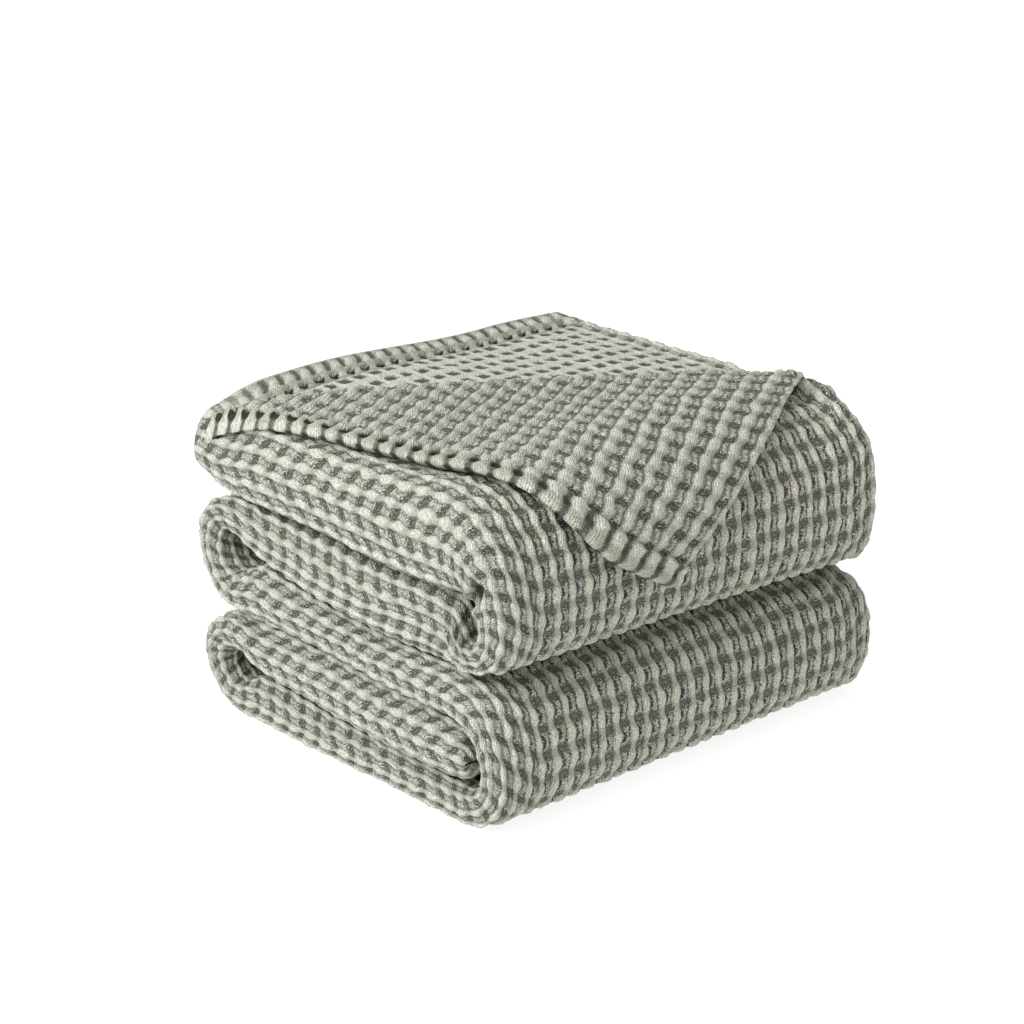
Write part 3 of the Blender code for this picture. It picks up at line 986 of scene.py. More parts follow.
@dataclass
class TurnedCorner:
    """The back corner of the top ply, turned over along a slanting fold.

    Sizes are in millimetres. Shares are of the way along the turned edge, from the left corner
    to the tip, or of the hem's width.
    """

    strip: FoldedStrip
    weave: Weave = Weave(
        cell_length=14.6,
        mean_height=0.8,
        rib_height=1.8,
        rib_half_width=0.225,
        rib_swell=0.05,
        float_height=1.4,
        hem_lean=0.0,
        hem_half_width=0.30,
        hem_height=1.9,
        hem_relief=0.60,
    )
    rib_pitch: float = 13.3

    # The net, from under the fold, round the hem and over the top
    first_share: float = 0.04
    table_steps: int = 400
    steps_across: float = 11.0
    steps_over: int = 165
    steps_under: int = 26
    under_end: float = 0.02
    under_crowding: float = 0.8
    under_pad: float = 0.01
    roll_steps: int = 16
    rounded_sections: int = 2

    # The sheet's two sides over the cloth under it, and its rounded fold
    ply: float = 5.0
    gap: float = 2.0
    thinnest: float = 1.5
    back_nose: float = 2.0
    back_nose_reach: float = 22.0
    fold_rise: float = 9.0
    fold_reach: float = 48.0
    fold_rounding: float = 11.0
    fold_sink: float = 3.0
    fold_sink_reach: float = 12.0
    foot_from_fold: float = 6.0
    foot_reach: float = 8.0
    edge_rounding: float = 4.5
    end_rounding: float = 5.0

    # The lifted tip, and the crest at the fold's end
    tip_lift: float = 7.0
    tip_share: Pair = (0.6, 1.0)
    crest_lift: float = 2.5
    crest_reach: float = 20.0
    crest_share: Pair = (0.78, 1.0)
    crest_end: float = 9.0

    # The weave's relief and the hem
    relief_from_fold: float = 6.0
    relief_from_hem: float = 8.0
    first_cell: float = 0.2
    hem_width: float = 18.0
    hem_width_at_start: float = 8.0
    hem_widening: Pair = (30.0, 170.0)
    hem_edge: float = 1.5
    hem_thickness: float = 3.0
    hem_step: Pair = (-3.0, 1.0)
    groove_depth: float = 2.0
    groove_half_width: float = 1.8
    groove_from_fold: float = 12.0

    # The shade painted into the openings between the hem's bars and onto the underside
    hole_middle: float = 0.5
    hole_reach: float = 0.27
    hole_shade: float = 1.3
    hole_shade_at_start: float = 0.8
    hole_start: Pair = (20.0, 120.0)
    hole_fade: float = 0.6
    hole_fade_share: Pair = (0.50, 0.85)
    underside_shade: float = 0.75

    def __post_init__(self) -> None:
        """Measure the outer side of the top run, flat past its rounded end, and the upper roll."""
        sections = np.array(ROUTE["top run"][self.rounded_sections:] + ROUTE["upper roll"])
        last = len(sections) - 1
        route = catmull_rom(sections, np.linspace(0.0, last, last * self.roll_steps + 1))[:, :2]
        self.route = np.vstack([[ROUTE["top run"][0][0], route[0, 1]], route])
        self.travelled = distances(lengths(self.route))
        slope = np.gradient(self.route, axis=0)
        slope /= np.linalg.norm(slope, axis=1, keepdims=True)
        self.outward = np.stack([slope[:, 1], -slope[:, 0]], -1)

    def on_roll(self, distance: np.ndarray, x: np.ndarray, lift: np.ndarray) -> np.ndarray:
        """Lay points over the top run and down the upper roll.

        Args:
            distance: distances from the top run's back end, over its top.
            x: places along the rolls.
            lift: heights over the cloth under them.

        Returns:
            Points in metres.
        """
        settling, rounding = self.strip.settling, self.strip.spine_rounding
        y, z = (np.interp(distance, self.travelled, self.route[:, k]) for k in (0, 1))
        out_y, out_z = (np.interp(distance, self.travelled, self.outward[:, k]) for k in (0, 1))
        half = np.maximum((z - settling.top_run_underside) / 2, 0.0)
        beyond = (np.abs(x) - (settling.strip_width / 2 - rounding)) / rounding
        turn_sine = np.clip(beyond, 0.0, 1.0) ** (1 / self.strip.spine_squareness)
        drop = half * (1 - np.sqrt(1 - turn_sine ** 2))
        nose = self.back_nose * (1 - smoothstep(0.0, self.back_nose_reach, distance))
        return settling.move(x, y + out_y * lift, z - drop - nose + out_z * lift)

    def patch(self) -> ClothPatch:
        """The corner as one sheet, from under its fold, round its hem and over its top.

        Returns:
            The sheet, before its weave is raised.
        """
        table = np.array(CORNER)
        last = len(table) - 1
        dense = np.linspace(self.first_share * last, last, self.table_steps)
        edges = catmull_rom(table, dense)
        ribs = distances((lengths(edges[:, :2]) + lengths(edges[:, 2:])) / 2) / self.rib_pitch
        u = padded_steps([(ribs[-1], self.steps_across)], 0.0)
        share, top = self._rows()
        net_u, net_share = np.meshgrid(u, share)
        net_top = np.meshgrid(u, top)[1]
        hem_x, hem_way, fold_x, fold_way = catmull_rom(table, np.interp(u, ribs, dense)).T
        wide = np.hypot(fold_x - hem_x, fold_way - hem_way)[None, :]
        from_hem, from_fold = wide * net_share, wide * (1 - net_share)
        from_start, from_end = net_u * self.rib_pitch, (ribs[-1] - net_u) * self.rib_pitch
        along = np.clip(net_u / ribs[-1], 0.0, 1.0)
        lift = self._heights(from_hem, from_fold, from_end, from_start, net_top)
        lift = lift + self.tip_lift * smoothstep(*self.tip_share, along) * (1 - net_share) ** 2
        crest = np.exp(-(from_fold / self.crest_reach) ** 2)
        crest = smoothstep(*self.crest_share, along) * crest
        crest = crest * smoothstep(0.0, self.crest_end, from_end)
        lift = lift + self.crest_lift * crest * net_top
        x = hem_x + (fold_x - hem_x) * net_share
        way = hem_way + (fold_way - hem_way) * net_share
        raised = net_top * smoothstep(0.0, self.relief_from_fold, from_fold)
        hem_width = self._hem_width(from_start)
        hem = 1 - smoothstep(hem_width - self.hem_edge, hem_width, from_hem)
        nothing = np.zeros_like(net_u)
        return ClothPatch(
            name="turned_corner",
            u=net_u - ribs[-1] + round(ribs[-1]) - self.weave.rib_offset,
            v=from_hem / self.weave.cell_length + self.first_cell,
            points=self.on_roll(way, x, lift),
            flat=(ribs[-1] * self.rib_pitch * MM, float(wide.mean()) * 2 * MM),
            raised=raised * smoothstep(0.0, self.relief_from_hem, from_hem),
            honeycomb=nothing,
            hem=hem,
            hole_and_shade=self._holes_and_shade(from_hem, from_start, along, net_top) * hem,
            extra=nothing,
        )

    def _rows(self) -> tuple[np.ndarray, np.ndarray]:
        """Rows of the net, from under the fold out to the hem and back over the top.

        Returns:
            The share of the way from hem to fold for each row, and 1 for each row on top.
        """
        under = 1 - np.linspace(self.under_end, 1.0, self.steps_under + 1) ** self.under_crowding
        over = np.linspace(0.0, 1.0, self.steps_over + 1)[1:]
        share = np.concatenate([[under[0] + self.under_pad], under, over, [1.0]])
        return share, np.concatenate([np.zeros(len(under) + 1), np.ones(len(over) + 1)])

    def _hem_width(self, from_start: np.ndarray) -> np.ndarray:
        """Width of the hem at a distance from the first rib, both in millimetres."""
        widening = smoothstep(*self.hem_widening, from_start)
        return self.hem_width_at_start + (self.hem_width - self.hem_width_at_start) * widening

    def _holes_and_shade(self, from_hem: np.ndarray, from_start: np.ndarray, along: np.ndarray,
               top: np.ndarray) -> np.ndarray:
        """Where the corner's hem opens between its bars.

        Args:
            from_hem: millimetres from the hem's edge.
            from_start: millimetres from the first rib.
            along: share of the way along the turned edge.
            top: 1 on the upper side, 0 on the lower.

        Returns:
            1 or more in the middle of painted shade, and 0 where none is painted.
        """
        width = self._hem_width(from_start)
        hole_and_shade = (from_hem - self.hole_middle * width) / (self.hole_reach * width)
        near_start = 1 - smoothstep(*self.hole_start, from_start)
        shade = self.hole_shade + self.hole_shade_at_start * near_start
        hole_and_shade = shade * np.exp(-hole_and_shade ** 2)
        hole_and_shade = hole_and_shade * (1 - self.hole_fade * smoothstep(*self.hole_fade_share, along))
        # Painted shade on the underside, kept to the hem, where it shows in the gap under the
        # edge.
        return np.maximum(hole_and_shade, self.underside_shade * (1 - top))

    def _heights(self, from_hem: np.ndarray, from_fold: np.ndarray, from_end: np.ndarray,
                 from_start: np.ndarray, top: np.ndarray) -> np.ndarray:
        """Heights of the corner's two sides above the cloth under it.

        Args:
            from_hem: millimetres from the hem's edge.
            from_fold: millimetres from the fold.
            from_end: millimetres from the last rib.
            from_start: millimetres from the first rib.
            top: 1 on the upper side, 0 on the lower.

        Returns:
            The heights, in millimetres.
        """
        settled = self.gap + self.ply
        near_fold = np.clip(1 - from_fold / self.fold_reach, 0.0, 1.0) ** 2
        rise = settled + (self.fold_rise - settled) * near_fold
        nose = np.clip(from_fold / self.fold_rounding, 0.0, 1.0)
        sunk = self.fold_sink * smoothstep(0.0, self.fold_sink_reach, from_end)
        upper = rise * rounded(from_fold, self.fold_rounding) - sunk * (1 - nose)
        foot = np.clip((from_fold - self.foot_from_fold) / self.foot_reach, 0.0, 1.0)
        lower = -2 * sunk + (rise - self.ply + 2 * sunk) * foot
        lower = np.minimum(lower, upper - self.thinnest)
        hem_width = self._hem_width(from_start)
        step_in, step_out = self.hem_step
        hem = 1 - smoothstep(hem_width + step_in, hem_width + step_out, from_hem)
        groove = np.exp(-((from_hem - hem_width) / self.groove_half_width) ** 2)
        groove = self.groove_depth * groove * (from_fold > self.groove_from_fold)
        upper = upper + self.hem_thickness * hem - groove
        edge = rounded(from_end, self.end_rounding) * rounded(from_start, self.end_rounding)
        edge = rounded(from_hem, self.edge_rounding) * edge
        return (upper + lower) / 2 + (upper - lower) / 2 * edge * np.where(top > 0, 1.0, -1.0)


class Value:
    """A number on a shader's socket: an expression on values adds its Math nodes."""

    def __init__(self, graph: Graph, socket: bpy.types.NodeSocket) -> None:
        """Take the graph that new nodes go to, and the socket that holds the number."""
        self.graph = graph
        self.socket = socket

    def _math(self, operation: str, *terms: Value | float) -> Value:
        """The result of one Math node."""
        node = self.graph.add("ShaderNodeMath", {"operation": operation}, dict(enumerate(terms)))
        return Value(self.graph, node.outputs[0])

    def __add__(self, other: Value | float) -> Value:
        """This value plus another."""
        return self._math("ADD", self, other)

    def __radd__(self, other: float) -> Value:
        """A number plus this value."""
        return self._math("ADD", other, self)

    def __sub__(self, other: Value | float) -> Value:
        """This value less another."""
        return self._math("SUBTRACT", self, other)

    def __rsub__(self, other: float) -> Value:
        """A number less this value."""
        return self._math("SUBTRACT", other, self)

    def __mul__(self, other: Value | float) -> Value:
        """This value times another."""
        return self._math("MULTIPLY", self, other)

    def __rmul__(self, other: float) -> Value:
        """A number times this value."""
        return self._math("MULTIPLY", other, self)

    def __truediv__(self, other: Value | float) -> Value:
        """This value over another."""
        return self._math("DIVIDE", self, other)

    def __rtruediv__(self, other: float) -> Value:
        """A number over this value."""
        return self._math("DIVIDE", other, self)

    def wave(self) -> Value:
        """From 0 to 1 and back as the value rises by a full turn, and midway at 0."""
        return 0.5 + 0.5 * self._math("SINE", self)

    def cosine(self) -> Value:
        """Its cosine."""
        return self._math("COSINE", self)

    def size(self) -> Value:
        """Its distance from zero."""
        return self._math("ABSOLUTE", self)

    def from_whole(self) -> Value:
        """Its distance from the nearest whole number."""
        return (self._math("FRACT", self + 0.5) - 0.5).size()

    def ramp(self, low: float, high: float) -> Value:
        """Rise smoothly between two values of this one.

        Args:
            low: the value below which the result is 0.
            high: the value above which it is 1.

        Returns:
            The result, from 0 to 1.
        """
        settings = {"interpolation_type": "SMOOTHSTEP"}
        inputs = {"Value": self, "From Min": low, "From Max": high}
        node = self.graph.add("ShaderNodeMapRange", settings, inputs)
        return Value(self.graph, node.outputs["Result"])


class Graph:
    """A material's nodes."""

    # The Mix node's sockets for colours share their names with its others, so they go by number.
    MIX_FIRST, MIX_SECOND, MIX_RESULT = 6, 7, 2

    def __init__(self, name: str) -> None:
        """Start a material.

        Args:
            name: the material's name.
        """
        self.material = bpy.data.materials.new(name)
        self.material.use_nodes = True
        self.tree = self.material.node_tree
        self.shader = self.tree.nodes["Principled BSDF"]

    def add(self, kind: str, settings: dict, inputs: dict) -> bpy.types.Node:
        """Add a node.

        Args:
            kind: the node's type.
            settings: its own settings, set first.
            inputs: values or links of its sockets, by name or number.

        Returns:
            The node.
        """
        node = self.tree.nodes.new(kind)
        for key, value in settings.items():
            setattr(node, key, value)
        for key, value in inputs.items():
            self.join(node.inputs[key], value)
        return node

    def join(self, socket: bpy.types.NodeSocket, value: object) -> None:
        """Link a value or a socket to a socket, or set a plain number or colour on it.

        Args:
            socket: the socket that receives it.
            value: a value, a socket, a number or a colour.
        """
        if isinstance(value, Value):
            self.tree.links.new(value.socket, socket)
        elif isinstance(value, bpy.types.NodeSocket):
            self.tree.links.new(value, socket)
        else:
            socket.default_value = value

    def dress(self, numbers: dict[str, float | Colour]) -> None:
        """Set plain numbers and colours on the shader's own sockets."""
        for name, number in numbers.items():
            self.shader.inputs[name].default_value = number

    def parts(self, vector: bpy.types.NodeSocket) -> list[Value]:
        """The three numbers of a vector."""
        node = self.add("ShaderNodeSeparateXYZ", {}, {0: vector})
        return [Value(self, output) for output in node.outputs]

    def mix(self, factor: Value | float, first: object, second: object,
            blend: str = "MIX") -> bpy.types.NodeSocket:
        """Mix two colours.

        Args:
            factor: 0 for the first colour alone, 1 for the second over it.
            first: a colour, or its socket.
            second: a colour, or its socket.
            blend: how the second goes over the first.

        Returns:
            The mixed colour's socket.
        """
        settings = {"data_type": "RGBA", "blend_type": blend}
        inputs = {"Factor": factor, self.MIX_FIRST: first, self.MIX_SECOND: second}
        return self.add("ShaderNodeMix", settings, inputs).outputs[self.MIX_RESULT]

    def stretch(self, place: bpy.types.NodeSocket, by: Triple) -> bpy.types.NodeSocket:
        """A place multiplied along each axis."""
        node = self.add("ShaderNodeVectorMath", {"operation": "MULTIPLY"}, {0: place, 1: by})
        return node.outputs[0]

    def noise(self, place: bpy.types.NodeSocket, scale: float, detail: float) -> Value:
        """Noise from 0 to 1 at a place."""
        inputs = {"Vector": place, "Scale": scale, "Detail": detail}
        return Value(self, self.add("ShaderNodeTexNoise", {}, inputs).outputs["Fac"])


def tone(red: float, green: float, blue: float) -> Colour:
    """A colour with full cover."""
    return (red, green, blue, 1.0)


class Grain(Enum):
    """Noises among the yarns, as (bumps for each millimetre, detail)."""

    BROAD = (0.07, 2.0)
    PATCHY = (0.33, 2.0)
    YARN = (0.85, 2.0)
    FIBRE = (1.6, 3.0)
    FLECK = (1.15, 1.0)
    LENGTHWISE = (1.0, 3.0)


@dataclass(frozen=True)
class YarnColours:
    """Colours of the cotton: cream, sage grey and dark grey green yarns, some set for the lit
    side.
    """

    cream: Colour = tone(0.505, 0.512, 0.452)
    beige: Colour = tone(0.56, 0.518, 0.415)
    rib_grey: Colour = tone(0.345, 0.358, 0.29)
    pillow: Colour = tone(0.55, 0.56, 0.485)
    # Lit-side copy for the left spine, set for the key light that falls there.
    pillow_lit_side: Colour = tone(0.545, 0.555, 0.49)
    pillow_dark: Colour = tone(0.36, 0.37, 0.298)
    pit: Colour = tone(0.100, 0.109, 0.078)
    # Darker lit-side copy for the left spine's pits, set for the key light that falls there.
    pit_lit_side: Colour = tone(0.060, 0.065, 0.046)
    pit_light: Colour = tone(0.30, 0.318, 0.248)
    comb: Colour = tone(0.56, 0.565, 0.497)
    # The honeycomb's pits: their dark yarns, darkened further as painted shade on their walls.
    comb_pit_and_shade: Colour = tone(0.075, 0.08, 0.056)
    hem_gap: Colour = tone(0.40, 0.405, 0.34)
    shade: Colour = tone(0.022, 0.024, 0.016)


@dataclass(frozen=True)
class YarnSet:
    """Where a point lies in the weave, as values on a material's sockets.

    Attributes:
        honeycomb: 1 on the honeycomb face.
        hem: 1 in a hem.
        hole_and_shade: share of the painted shade that shows, in openings, seam, gaps and
            underside.
        broad: soft noise over many cells.
        patchy: noise about as coarse as a rib.
        yarn: noise about as coarse as a yarn.
        fibre: the finest noise.
        fleck: fine noise with no detail.
        lengthwise: noise drawn out along the ribs.
        row: 1 on the middle of a float, 0 midway between two.
        from_rib: ribs from the middle of the nearest rib.
        edge: the same in the rib's own half width, with a ragged side.
        rib: 1 on a rib.
        ladder: 1 on each yarn that crosses between two ribs.
        strands: 1 on each yarn that runs along a rib.
        crevice_shade: 1 on the thin lines of painted shade in the crevices between yarns.
        lit_side: 1 on the strip's left spine, which the key light falls on.
    """

    honeycomb: Value
    hem: Value
    hole_and_shade: Value
    broad: Value
    patchy: Value
    yarn: Value
    fibre: Value
    fleck: Value
    lengthwise: Value
    row: Value
    from_rib: Value
    edge: Value
    rib: Value
    ladder: Value
    strands: Value
    crevice_shade: Value
    lit_side: Value


@dataclass(frozen=True)
class WaffleCotton:
    """Matt cotton whose yarns the weave sorts by colour.

    A pair of numbers is where a smooth change starts and ends, and a number named for a noise is
    how much of that noise goes in.
    """

    name: str = "waffle_cotton"
    colours: YarnColours = YarnColours()

    # Where the noises lie on the cloth, for each rib and cell
    place_stretch: Triple = (12.0, 15.0, 1.0)
    lengthwise_stretch: Triple = (17.0, 5.0, 1.0)

    # The ribs' sides
    half_width: float = 0.195
    hem_widening: float = 0.11
    rib_swell: float = 0.22
    edge_patchy: float = 0.18
    edge_yarn: float = 0.26
    rib_edge: Pair = (0.75, 1.35)
    # Where the left spine starts, whose colours are set for the key light that falls on it.
    side_edge: Pair = (-12.5, -9.5)

    # Yarns across the valleys and along the ribs, and painted shade in crevices between them
    yarns_in_cell: float = 8.0
    yarn_bend: float = 1.8
    ladder_patchy: float = 7.0
    strands_in_rib: float = 9.0
    strand_twist: float = 3.0
    strand_patchy: float = 8.0
    squiggle_line: Pair = (0.005, 0.055)
    squiggle_share: float = 0.75
    rib_squiggle: float = 0.32
    hem_squiggle: float = 0.30

    # Dark pits, pale floats, and arcs of painted shade between a float and a rib
    dark_patchy: float = 0.8
    dark_yarn: float = 1.0
    dark_row: Pair = (0.17, 0.52)
    pit_yarn: Pair = (0.30, 0.65)
    pillow_ladder: float = 0.35
    pillow_yarn: Pair = (0.22, 0.60)
    arc_place: float = 1.40
    arc_line: Pair = (0.15, 0.50)
    arc_row: Pair = (0.20, 0.50)
    arc_fibre: Pair = (0.36, 0.46)
    arc_less_lit_side: float = 0.5
    arc_shade_share: float = 0.97

    # Cream, grey and beige on the ribs
    lit_patchy: float = 0.9
    lit_row: Pair = (0.15, 0.65)
    beige_share: float = 1.0
    beige_broad: Pair = (0.32, 0.56)
    beige_patchy: Pair = (0.34, 0.54)
    beige_edge: Pair = (0.2, 0.75)

    # Pits of the honeycomb face, partly painted shade, and where painted shade in openings shows
    comb_yarn: float = 0.12
    comb_patchy: float = 0.14
    comb_across: Pair = (0.10, 0.32)
    comb_along: Pair = (0.35, 0.75)
    comb_along_uneven: float = 3.0
    hole_edge: Pair = (0.3, 0.8)

    # Brightness of the fibres
    brightness: float = 0.40
    fibre_light: float = 0.30
    fibre_edge: Pair = (0.30, 0.70)
    lengthwise_light: float = 0.34
    lengthwise_edge: Pair = (0.3, 0.7)
    fleck_light: float = 0.40
    fleck_edge: Pair = (0.38, 0.60)
    strand_light: float = 0.12
    hem_strand_light: float = 0.16
    hem_dimming: float = 0.08

    # Relief of the yarns, and the cotton's sheen
    strand_height: float = 0.6
    yarn_height: float = 0.9
    fibre_height: float = 0.7
    lengthwise_height: float = 0.5
    bump: float = 0.8
    bump_height_m: float = 0.0007
    roughness: float = 0.92
    specular: float = 0.1
    sheen: float = 0.08
    sheen_roughness: float = 0.6

    def build(self) -> bpy.types.Material:
        """Join the yarns' colours and heights in one material.

        Returns:
            The material.
        """
        graph = Graph(self.name)
        yarns = self._sort_yarns(graph)
        colour = graph.mix(yarns.rib, self._valley(graph, yarns), self._rib(graph, yarns))
        colour = graph.mix(yarns.honeycomb, colour, self._comb(graph, yarns))
        # Painted shade: openings, the seam, gaps between plies and the corner's underside go near
        # black.
        colour = graph.mix(yarns.hole_and_shade.ramp(*self.hole_edge), colour, self.colours.shade)
        light = self._brightness(yarns)
        greys = graph.add("ShaderNodeCombineXYZ", {}, {0: light, 1: light, 2: light})
        colour = graph.mix(1.0, colour, greys.outputs[0], "MULTIPLY")
        graph.join(graph.shader.inputs["Base Color"], colour)
        bump = graph.add("ShaderNodeBump", {}, {
            "Strength": self.bump,
            "Distance": self.bump_height_m,
            "Height": self._height(yarns),
        })
        graph.join(graph.shader.inputs["Normal"], bump.outputs["Normal"])
        graph.dress({
            "Roughness": self.roughness,
            "Specular IOR Level": self.specular,
            "Sheen Weight": self.sheen,
            "Sheen Roughness": self.sheen_roughness,
        })
        return graph.material

    def _sort_yarns(self, graph: Graph) -> YarnSet:
        """Find each point's place among the yarns.

        Args:
            graph: the material's nodes.

        Returns:
            The values that the colours and heights are made from.
        """
        weave = graph.add("ShaderNodeUVMap", {"uv_map": "weave"}, {}).outputs["UV"]
        u, v = graph.parts(weave)[:2]
        cloth = graph.add("ShaderNodeAttribute", {"attribute_name": "cloth"}, {})
        honeycomb, hem, hole_and_shade = graph.parts(cloth.outputs["Vector"])
        at = graph.stretch(weave, self.place_stretch)
        patchy = graph.noise(at, *Grain.PATCHY.value)
        yarn = graph.noise(at, *Grain.YARN.value)
        drawn_out = graph.stretch(weave, self.lengthwise_stretch)
        beat = (2 * pi * v).cosine()
        half = self.half_width * (1 + self.rib_swell * beat * (1 - hem)) + self.hem_widening * hem
        from_rib = u.from_whole()
        ragged = self.edge_patchy * (patchy - 0.5) + self.edge_yarn * (yarn - 0.5)
        edge = (from_rib + ragged) / half
        bend = self.yarn_bend * (0.5 - from_rib) * (0.5 - from_rib)
        ladder = 2 * pi * (self.yarns_in_cell * (v.from_whole() - bend))
        strands = 2 * pi * (self.strands_in_rib * u + self.strand_twist * v)
        return YarnSet(
            honeycomb=honeycomb,
            hem=hem,
            hole_and_shade=hole_and_shade,
            broad=graph.noise(at, *Grain.BROAD.value),
            patchy=patchy,
            yarn=yarn,
            fibre=graph.noise(at, *Grain.FIBRE.value),
            fleck=graph.noise(at, *Grain.FLECK.value),
            lengthwise=graph.noise(drawn_out, *Grain.LENGTHWISE.value),
            row=0.5 + 0.5 * beat,
            from_rib=from_rib,
            edge=edge,
            rib=1 - edge.ramp(*self.rib_edge),
            ladder=(ladder + self.ladder_patchy * patchy).wave(),
            strands=(strands + self.strand_patchy * patchy).wave(),
            crevice_shade=1 - (yarn - 0.5).size().ramp(*self.squiggle_line),
            lit_side=1 - u.ramp(*self.side_edge),
        )

    def _valley(self, graph: Graph, yarns: YarnSet) -> bpy.types.NodeSocket:
        """Colour between the ribs: dark pits, pale floats, and painted shade in arcs and crevices.

        Args:
            graph: the material's nodes.
            yarns: the point's place among the yarns.

        Returns:
            The colour's socket.
        """
        colours, row, yarn, lit_side = self.colours, yarns.row, yarns.yarn, yarns.lit_side
        uneven = self.dark_patchy * (yarns.patchy - 0.5) + self.dark_yarn * (yarn - 0.5)
        dark = (1 - (row + uneven).ramp(*self.dark_row)) * (1 - yarns.hem)
        # Arcs of painted shade in the groove between a float and a rib.
        arc_shade = 1 - (yarns.edge - self.arc_place).size().ramp(*self.arc_line)
        arc_shade = arc_shade * row.ramp(*self.arc_row) * yarns.fibre.ramp(*self.arc_fibre)
        arc_shade = arc_shade * (1 - yarns.hem) * (1 - self.arc_less_lit_side * lit_side)
        # The left spine's pits and pillows take their lit-side copies.
        pit = graph.mix(lit_side, colours.pit, colours.pit_lit_side)
        pit = graph.mix(yarns.ladder * yarn.ramp(*self.pit_yarn), pit, colours.pit_light)
        pillow = graph.mix(lit_side, colours.pillow, colours.pillow_lit_side)
        lit = (yarn + self.pillow_ladder * (yarns.ladder - 0.5)).ramp(*self.pillow_yarn)
        pillow = graph.mix(lit, colours.pillow_dark, pillow)
        valley = graph.mix(dark, pillow, pit)
        valley = graph.mix(yarns.hem, valley, colours.hem_gap)
        valley = graph.mix(self.arc_shade_share * arc_shade, valley, colours.shade)
        # Painted shade in the thin crevices between yarns.
        return graph.mix(self.squiggle_share * yarns.crevice_shade, valley, colours.shade)

    def _rib(self, graph: Graph, yarns: YarnSet) -> bpy.types.NodeSocket:
        """Rib colour: grey by pits, cream by floats, beige in places but none on the lit side.

        Args:
            graph: the material's nodes.
            yarns: the point's place among the yarns.

        Returns:
            The colour's socket.
        """
        colours, hem = self.colours, yarns.hem
        lit = (yarns.row + self.lit_patchy * (yarns.patchy - 0.5)).ramp(*self.lit_row)
        rib = graph.mix(lit, colours.rib_grey, colours.cream)
        warm = yarns.row * yarns.broad.ramp(*self.beige_broad)
        warm = (warm * yarns.patchy.ramp(*self.beige_patchy)).ramp(*self.beige_edge)
        # No beige on the left spine, set for how the key light falls there.
        warm = self.beige_share * warm * (1 - hem) * (1 - yarns.lit_side)
        rib = graph.mix(warm, rib, colours.beige)
        # Painted shade in the crevices between the ribs' yarns, in the dark pillow colour.
        lines = (self.rib_squiggle + self.hem_squiggle * hem) * yarns.crevice_shade
        return graph.mix(lines, rib, colours.pillow_dark)

    def _comb(self, graph: Graph, yarns: YarnSet) -> bpy.types.NodeSocket:
        """Colour of the honeycomb face: pale, with pits partly dark yarn and partly painted shade.

        Args:
            graph: the material's nodes.
            yarns: the point's place among the yarns.

        Returns:
            The colour's socket.
        """
        uneven = self.comb_yarn * (yarns.yarn - 0.5) + self.comb_patchy * (yarns.patchy - 0.5)
        along = (1 - yarns.row + self.comb_along_uneven * uneven).ramp(*self.comb_along)
        # Pits painted dark and wide enough to cover their walls: partly painted shade.
        sunk = (yarns.from_rib + uneven).ramp(*self.comb_across) * along
        return graph.mix(sunk, self.colours.comb, self.colours.comb_pit_and_shade)

    def _brightness(self, yarns: YarnSet) -> Value:
        """Brighten and dim the colour fibre by fibre.

        Args:
            yarns: the point's place among the yarns.

        Returns:
            The brightness that the colour is multiplied by.
        """
        light = self.brightness + self.fibre_light * yarns.fibre.ramp(*self.fibre_edge)
        light = light + self.lengthwise_light * yarns.lengthwise.ramp(*self.lengthwise_edge)
        light = light + self.fleck_light * yarns.fleck.ramp(*self.fleck_edge)
        strand_light = self.strand_light + self.hem_strand_light * yarns.hem
        return light + strand_light * yarns.strands * yarns.rib - self.hem_dimming * yarns.hem

    def _height(self, yarns: YarnSet) -> Value:
        """Raise the yarns and their fibres.

        Args:
            yarns: the point's place among the yarns.

        Returns:
            The height for the bump.
        """
        height = yarns.ladder * (1 - yarns.rib) + self.strand_height * yarns.strands * yarns.rib
        height = height + self.yarn_height * yarns.yarn + self.fibre_height * yarns.fibre
        return height + self.lengthwise_height * yarns.lengthwise


@dataclass(frozen=True)
class Lamp:
    """A square soft lamp that faces the blanket. Its place and side are in metres."""

    name: str
    place: Triple
    side: float
    watts: float

    def build(self, aim: Triple) -> None:
        """Make the lamp and turn it to the point that it lights.

        Args:
            aim: that point, in metres.
        """
        light = bpy.data.lights.new(self.name, "AREA")
        light.size = self.side
        light.energy = self.watts
        lamp = bpy.data.objects.new(self.name, light)
        lamp.location = self.place
        toward = Vector(aim) - Vector(self.place)
        lamp.rotation_euler = toward.to_track_quat("-Z", "Y").to_euler()
        bpy.context.scene.collection.objects.link(lamp)


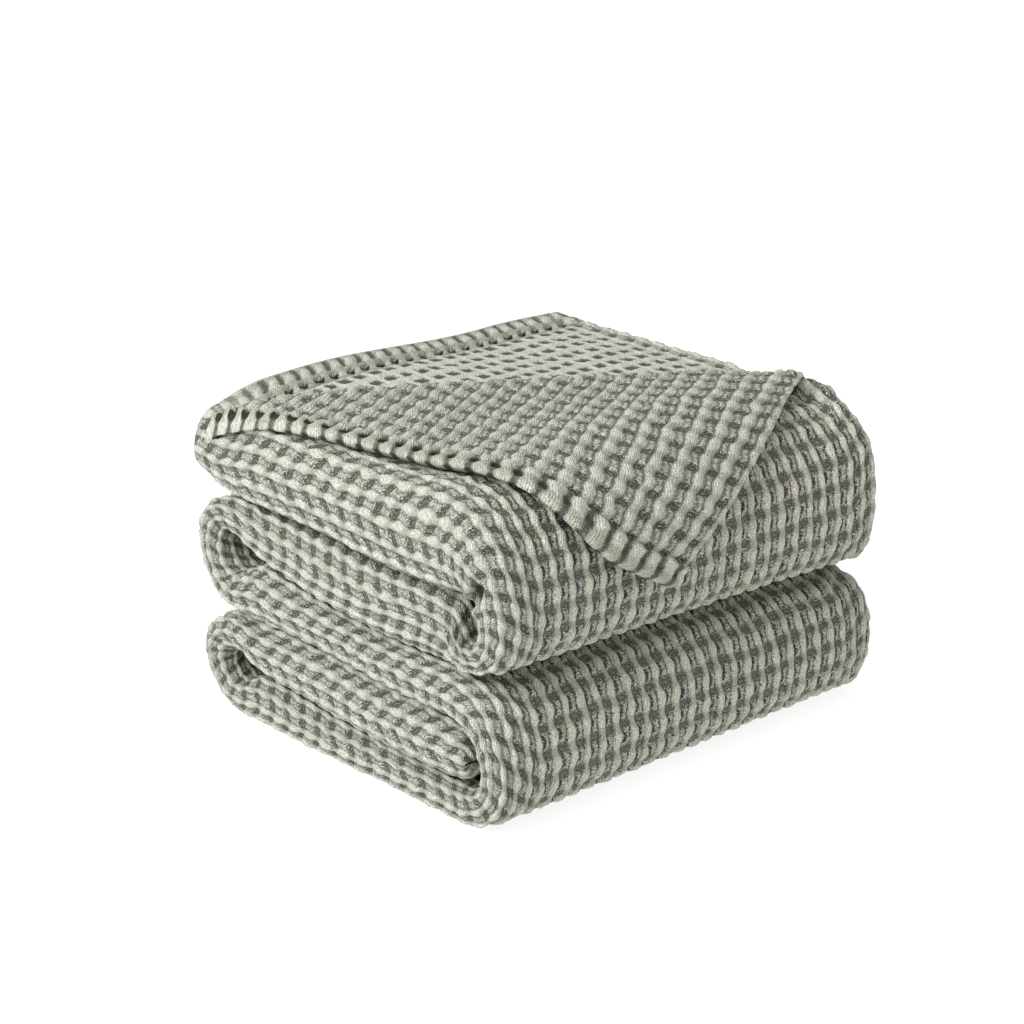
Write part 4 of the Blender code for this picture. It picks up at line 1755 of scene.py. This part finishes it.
@dataclass(frozen=True)
class Studio:
    """White floor, soft light and the camera. Lengths are in metres, and angles in degrees."""

    floor_size: float = 14.0
    floor_glow: float = 0.80
    floor_tone: float = 0.38
    sky: float = 0.60
    white: Colour = tone(1.0, 1.0, 1.0)
    lamps: tuple[Lamp, ...] = (
        Lamp("key_light", (-1.9, 0.25, 1.7), 1.6, 66.0),
        Lamp("fill_light", (-0.6, -2.2, 1.6), 2.0, 8.0),
    )
    azimuth: float = -42.6
    elevation: float = 21.2
    distance: float = 1.682
    aim: Triple = (0.0, 0.0058, 0.09)
    lens: float = 98.44
    shift_x: float = -0.0259
    shift_y: float = 0.0457

    def build(self) -> None:
        """Make the floor, the lights and the camera."""
        self._floor()
        self._sky()
        for lamp in self.lamps:
            lamp.build(self.aim)
        self._camera()

    def _floor(self) -> None:
        """A plain white floor."""
        mesh = bmesh.new()
        bmesh.ops.create_grid(mesh, x_segments=1, y_segments=1, size=self.floor_size / 2)
        data = bpy.data.meshes.new("floor")
        mesh.to_mesh(data)
        mesh.free()
        floor = bpy.data.objects.new("floor", data)
        bpy.context.scene.collection.objects.link(floor)
        graph = Graph("floor_white")
        graph.dress({
            "Base Color": tone(self.floor_tone, self.floor_tone, self.floor_tone),
            "Roughness": 1.0,
            "Specular IOR Level": 0.0,
            "Emission Color": self.white,
            "Emission Strength": self.floor_glow,
        })
        data.materials.append(graph.material)

    def _sky(self) -> None:
        """Even white light from all sides."""
        world = bpy.data.worlds.new("studio")
        world.use_nodes = True
        background = world.node_tree.nodes["Background"]
        background.inputs["Color"].default_value = self.white
        background.inputs["Strength"].default_value = self.sky
        bpy.context.scene.world = world

    def _camera(self) -> None:
        """The camera, at its azimuth and elevation round the aim."""
        turn, rise = radians(self.azimuth), radians(self.elevation)
        back = Vector((sin(turn) * cos(rise), -cos(turn) * cos(rise), sin(rise)))
        right = Vector((cos(turn), sin(turn), 0.0))
        data = bpy.data.cameras.new("camera")
        data.lens = self.lens
        data.shift_x = self.shift_x
        data.shift_y = self.shift_y
        camera = bpy.data.objects.new("camera", data)
        place = Matrix((right, back.cross(right), back)).transposed().to_4x4()
        place.translation = Vector(self.aim) + back * self.distance
        camera.matrix_world = place
        bpy.context.scene.collection.objects.link(camera)
        bpy.context.scene.camera = camera
        bpy.context.scene.view_settings.view_transform = "Standard"


def reverse_finish() -> WaffleCotton:
    """Dress the cloth's other side, which shows on the turned corner.

    Returns:
        The finish, with darker pits, wider ribs and less beige.
    """
    colours = YarnColours(
        pillow=tone(0.53, 0.54, 0.462),
        pillow_lit_side=tone(0.53, 0.54, 0.462),
        pillow_dark=tone(0.375, 0.385, 0.305),
        pit=tone(0.042, 0.046, 0.033),
        pit_lit_side=tone(0.042, 0.046, 0.033),
        pit_light=tone(0.28, 0.295, 0.23),
        hem_gap=tone(0.12, 0.125, 0.092),
    )
    return WaffleCotton(
        name="waffle_cotton_reverse",
        colours=colours,
        half_width=0.225,
        rib_swell=0.10,
        beige_share=0.2,
        arc_shade_share=0.65,
        squiggle_share=0.50,
    )


def main() -> None:
    """Load the frame, then build the blanket's cloth and the studio."""
    logging.basicConfig(level=logging.INFO, format="%(message)s")
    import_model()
    cotton, reverse = WaffleCotton().build(), reverse_finish().build()
    strip = FoldedStrip()
    for patch in [*strip.patches(), PlyEnds(strip).patch()]:
        patch.build(strip.weave, cotton)
    corner = TurnedCorner(strip)
    corner.patch().build(corner.weave, reverse)
    Studio().build()


if __name__ == "__main__":
    main()
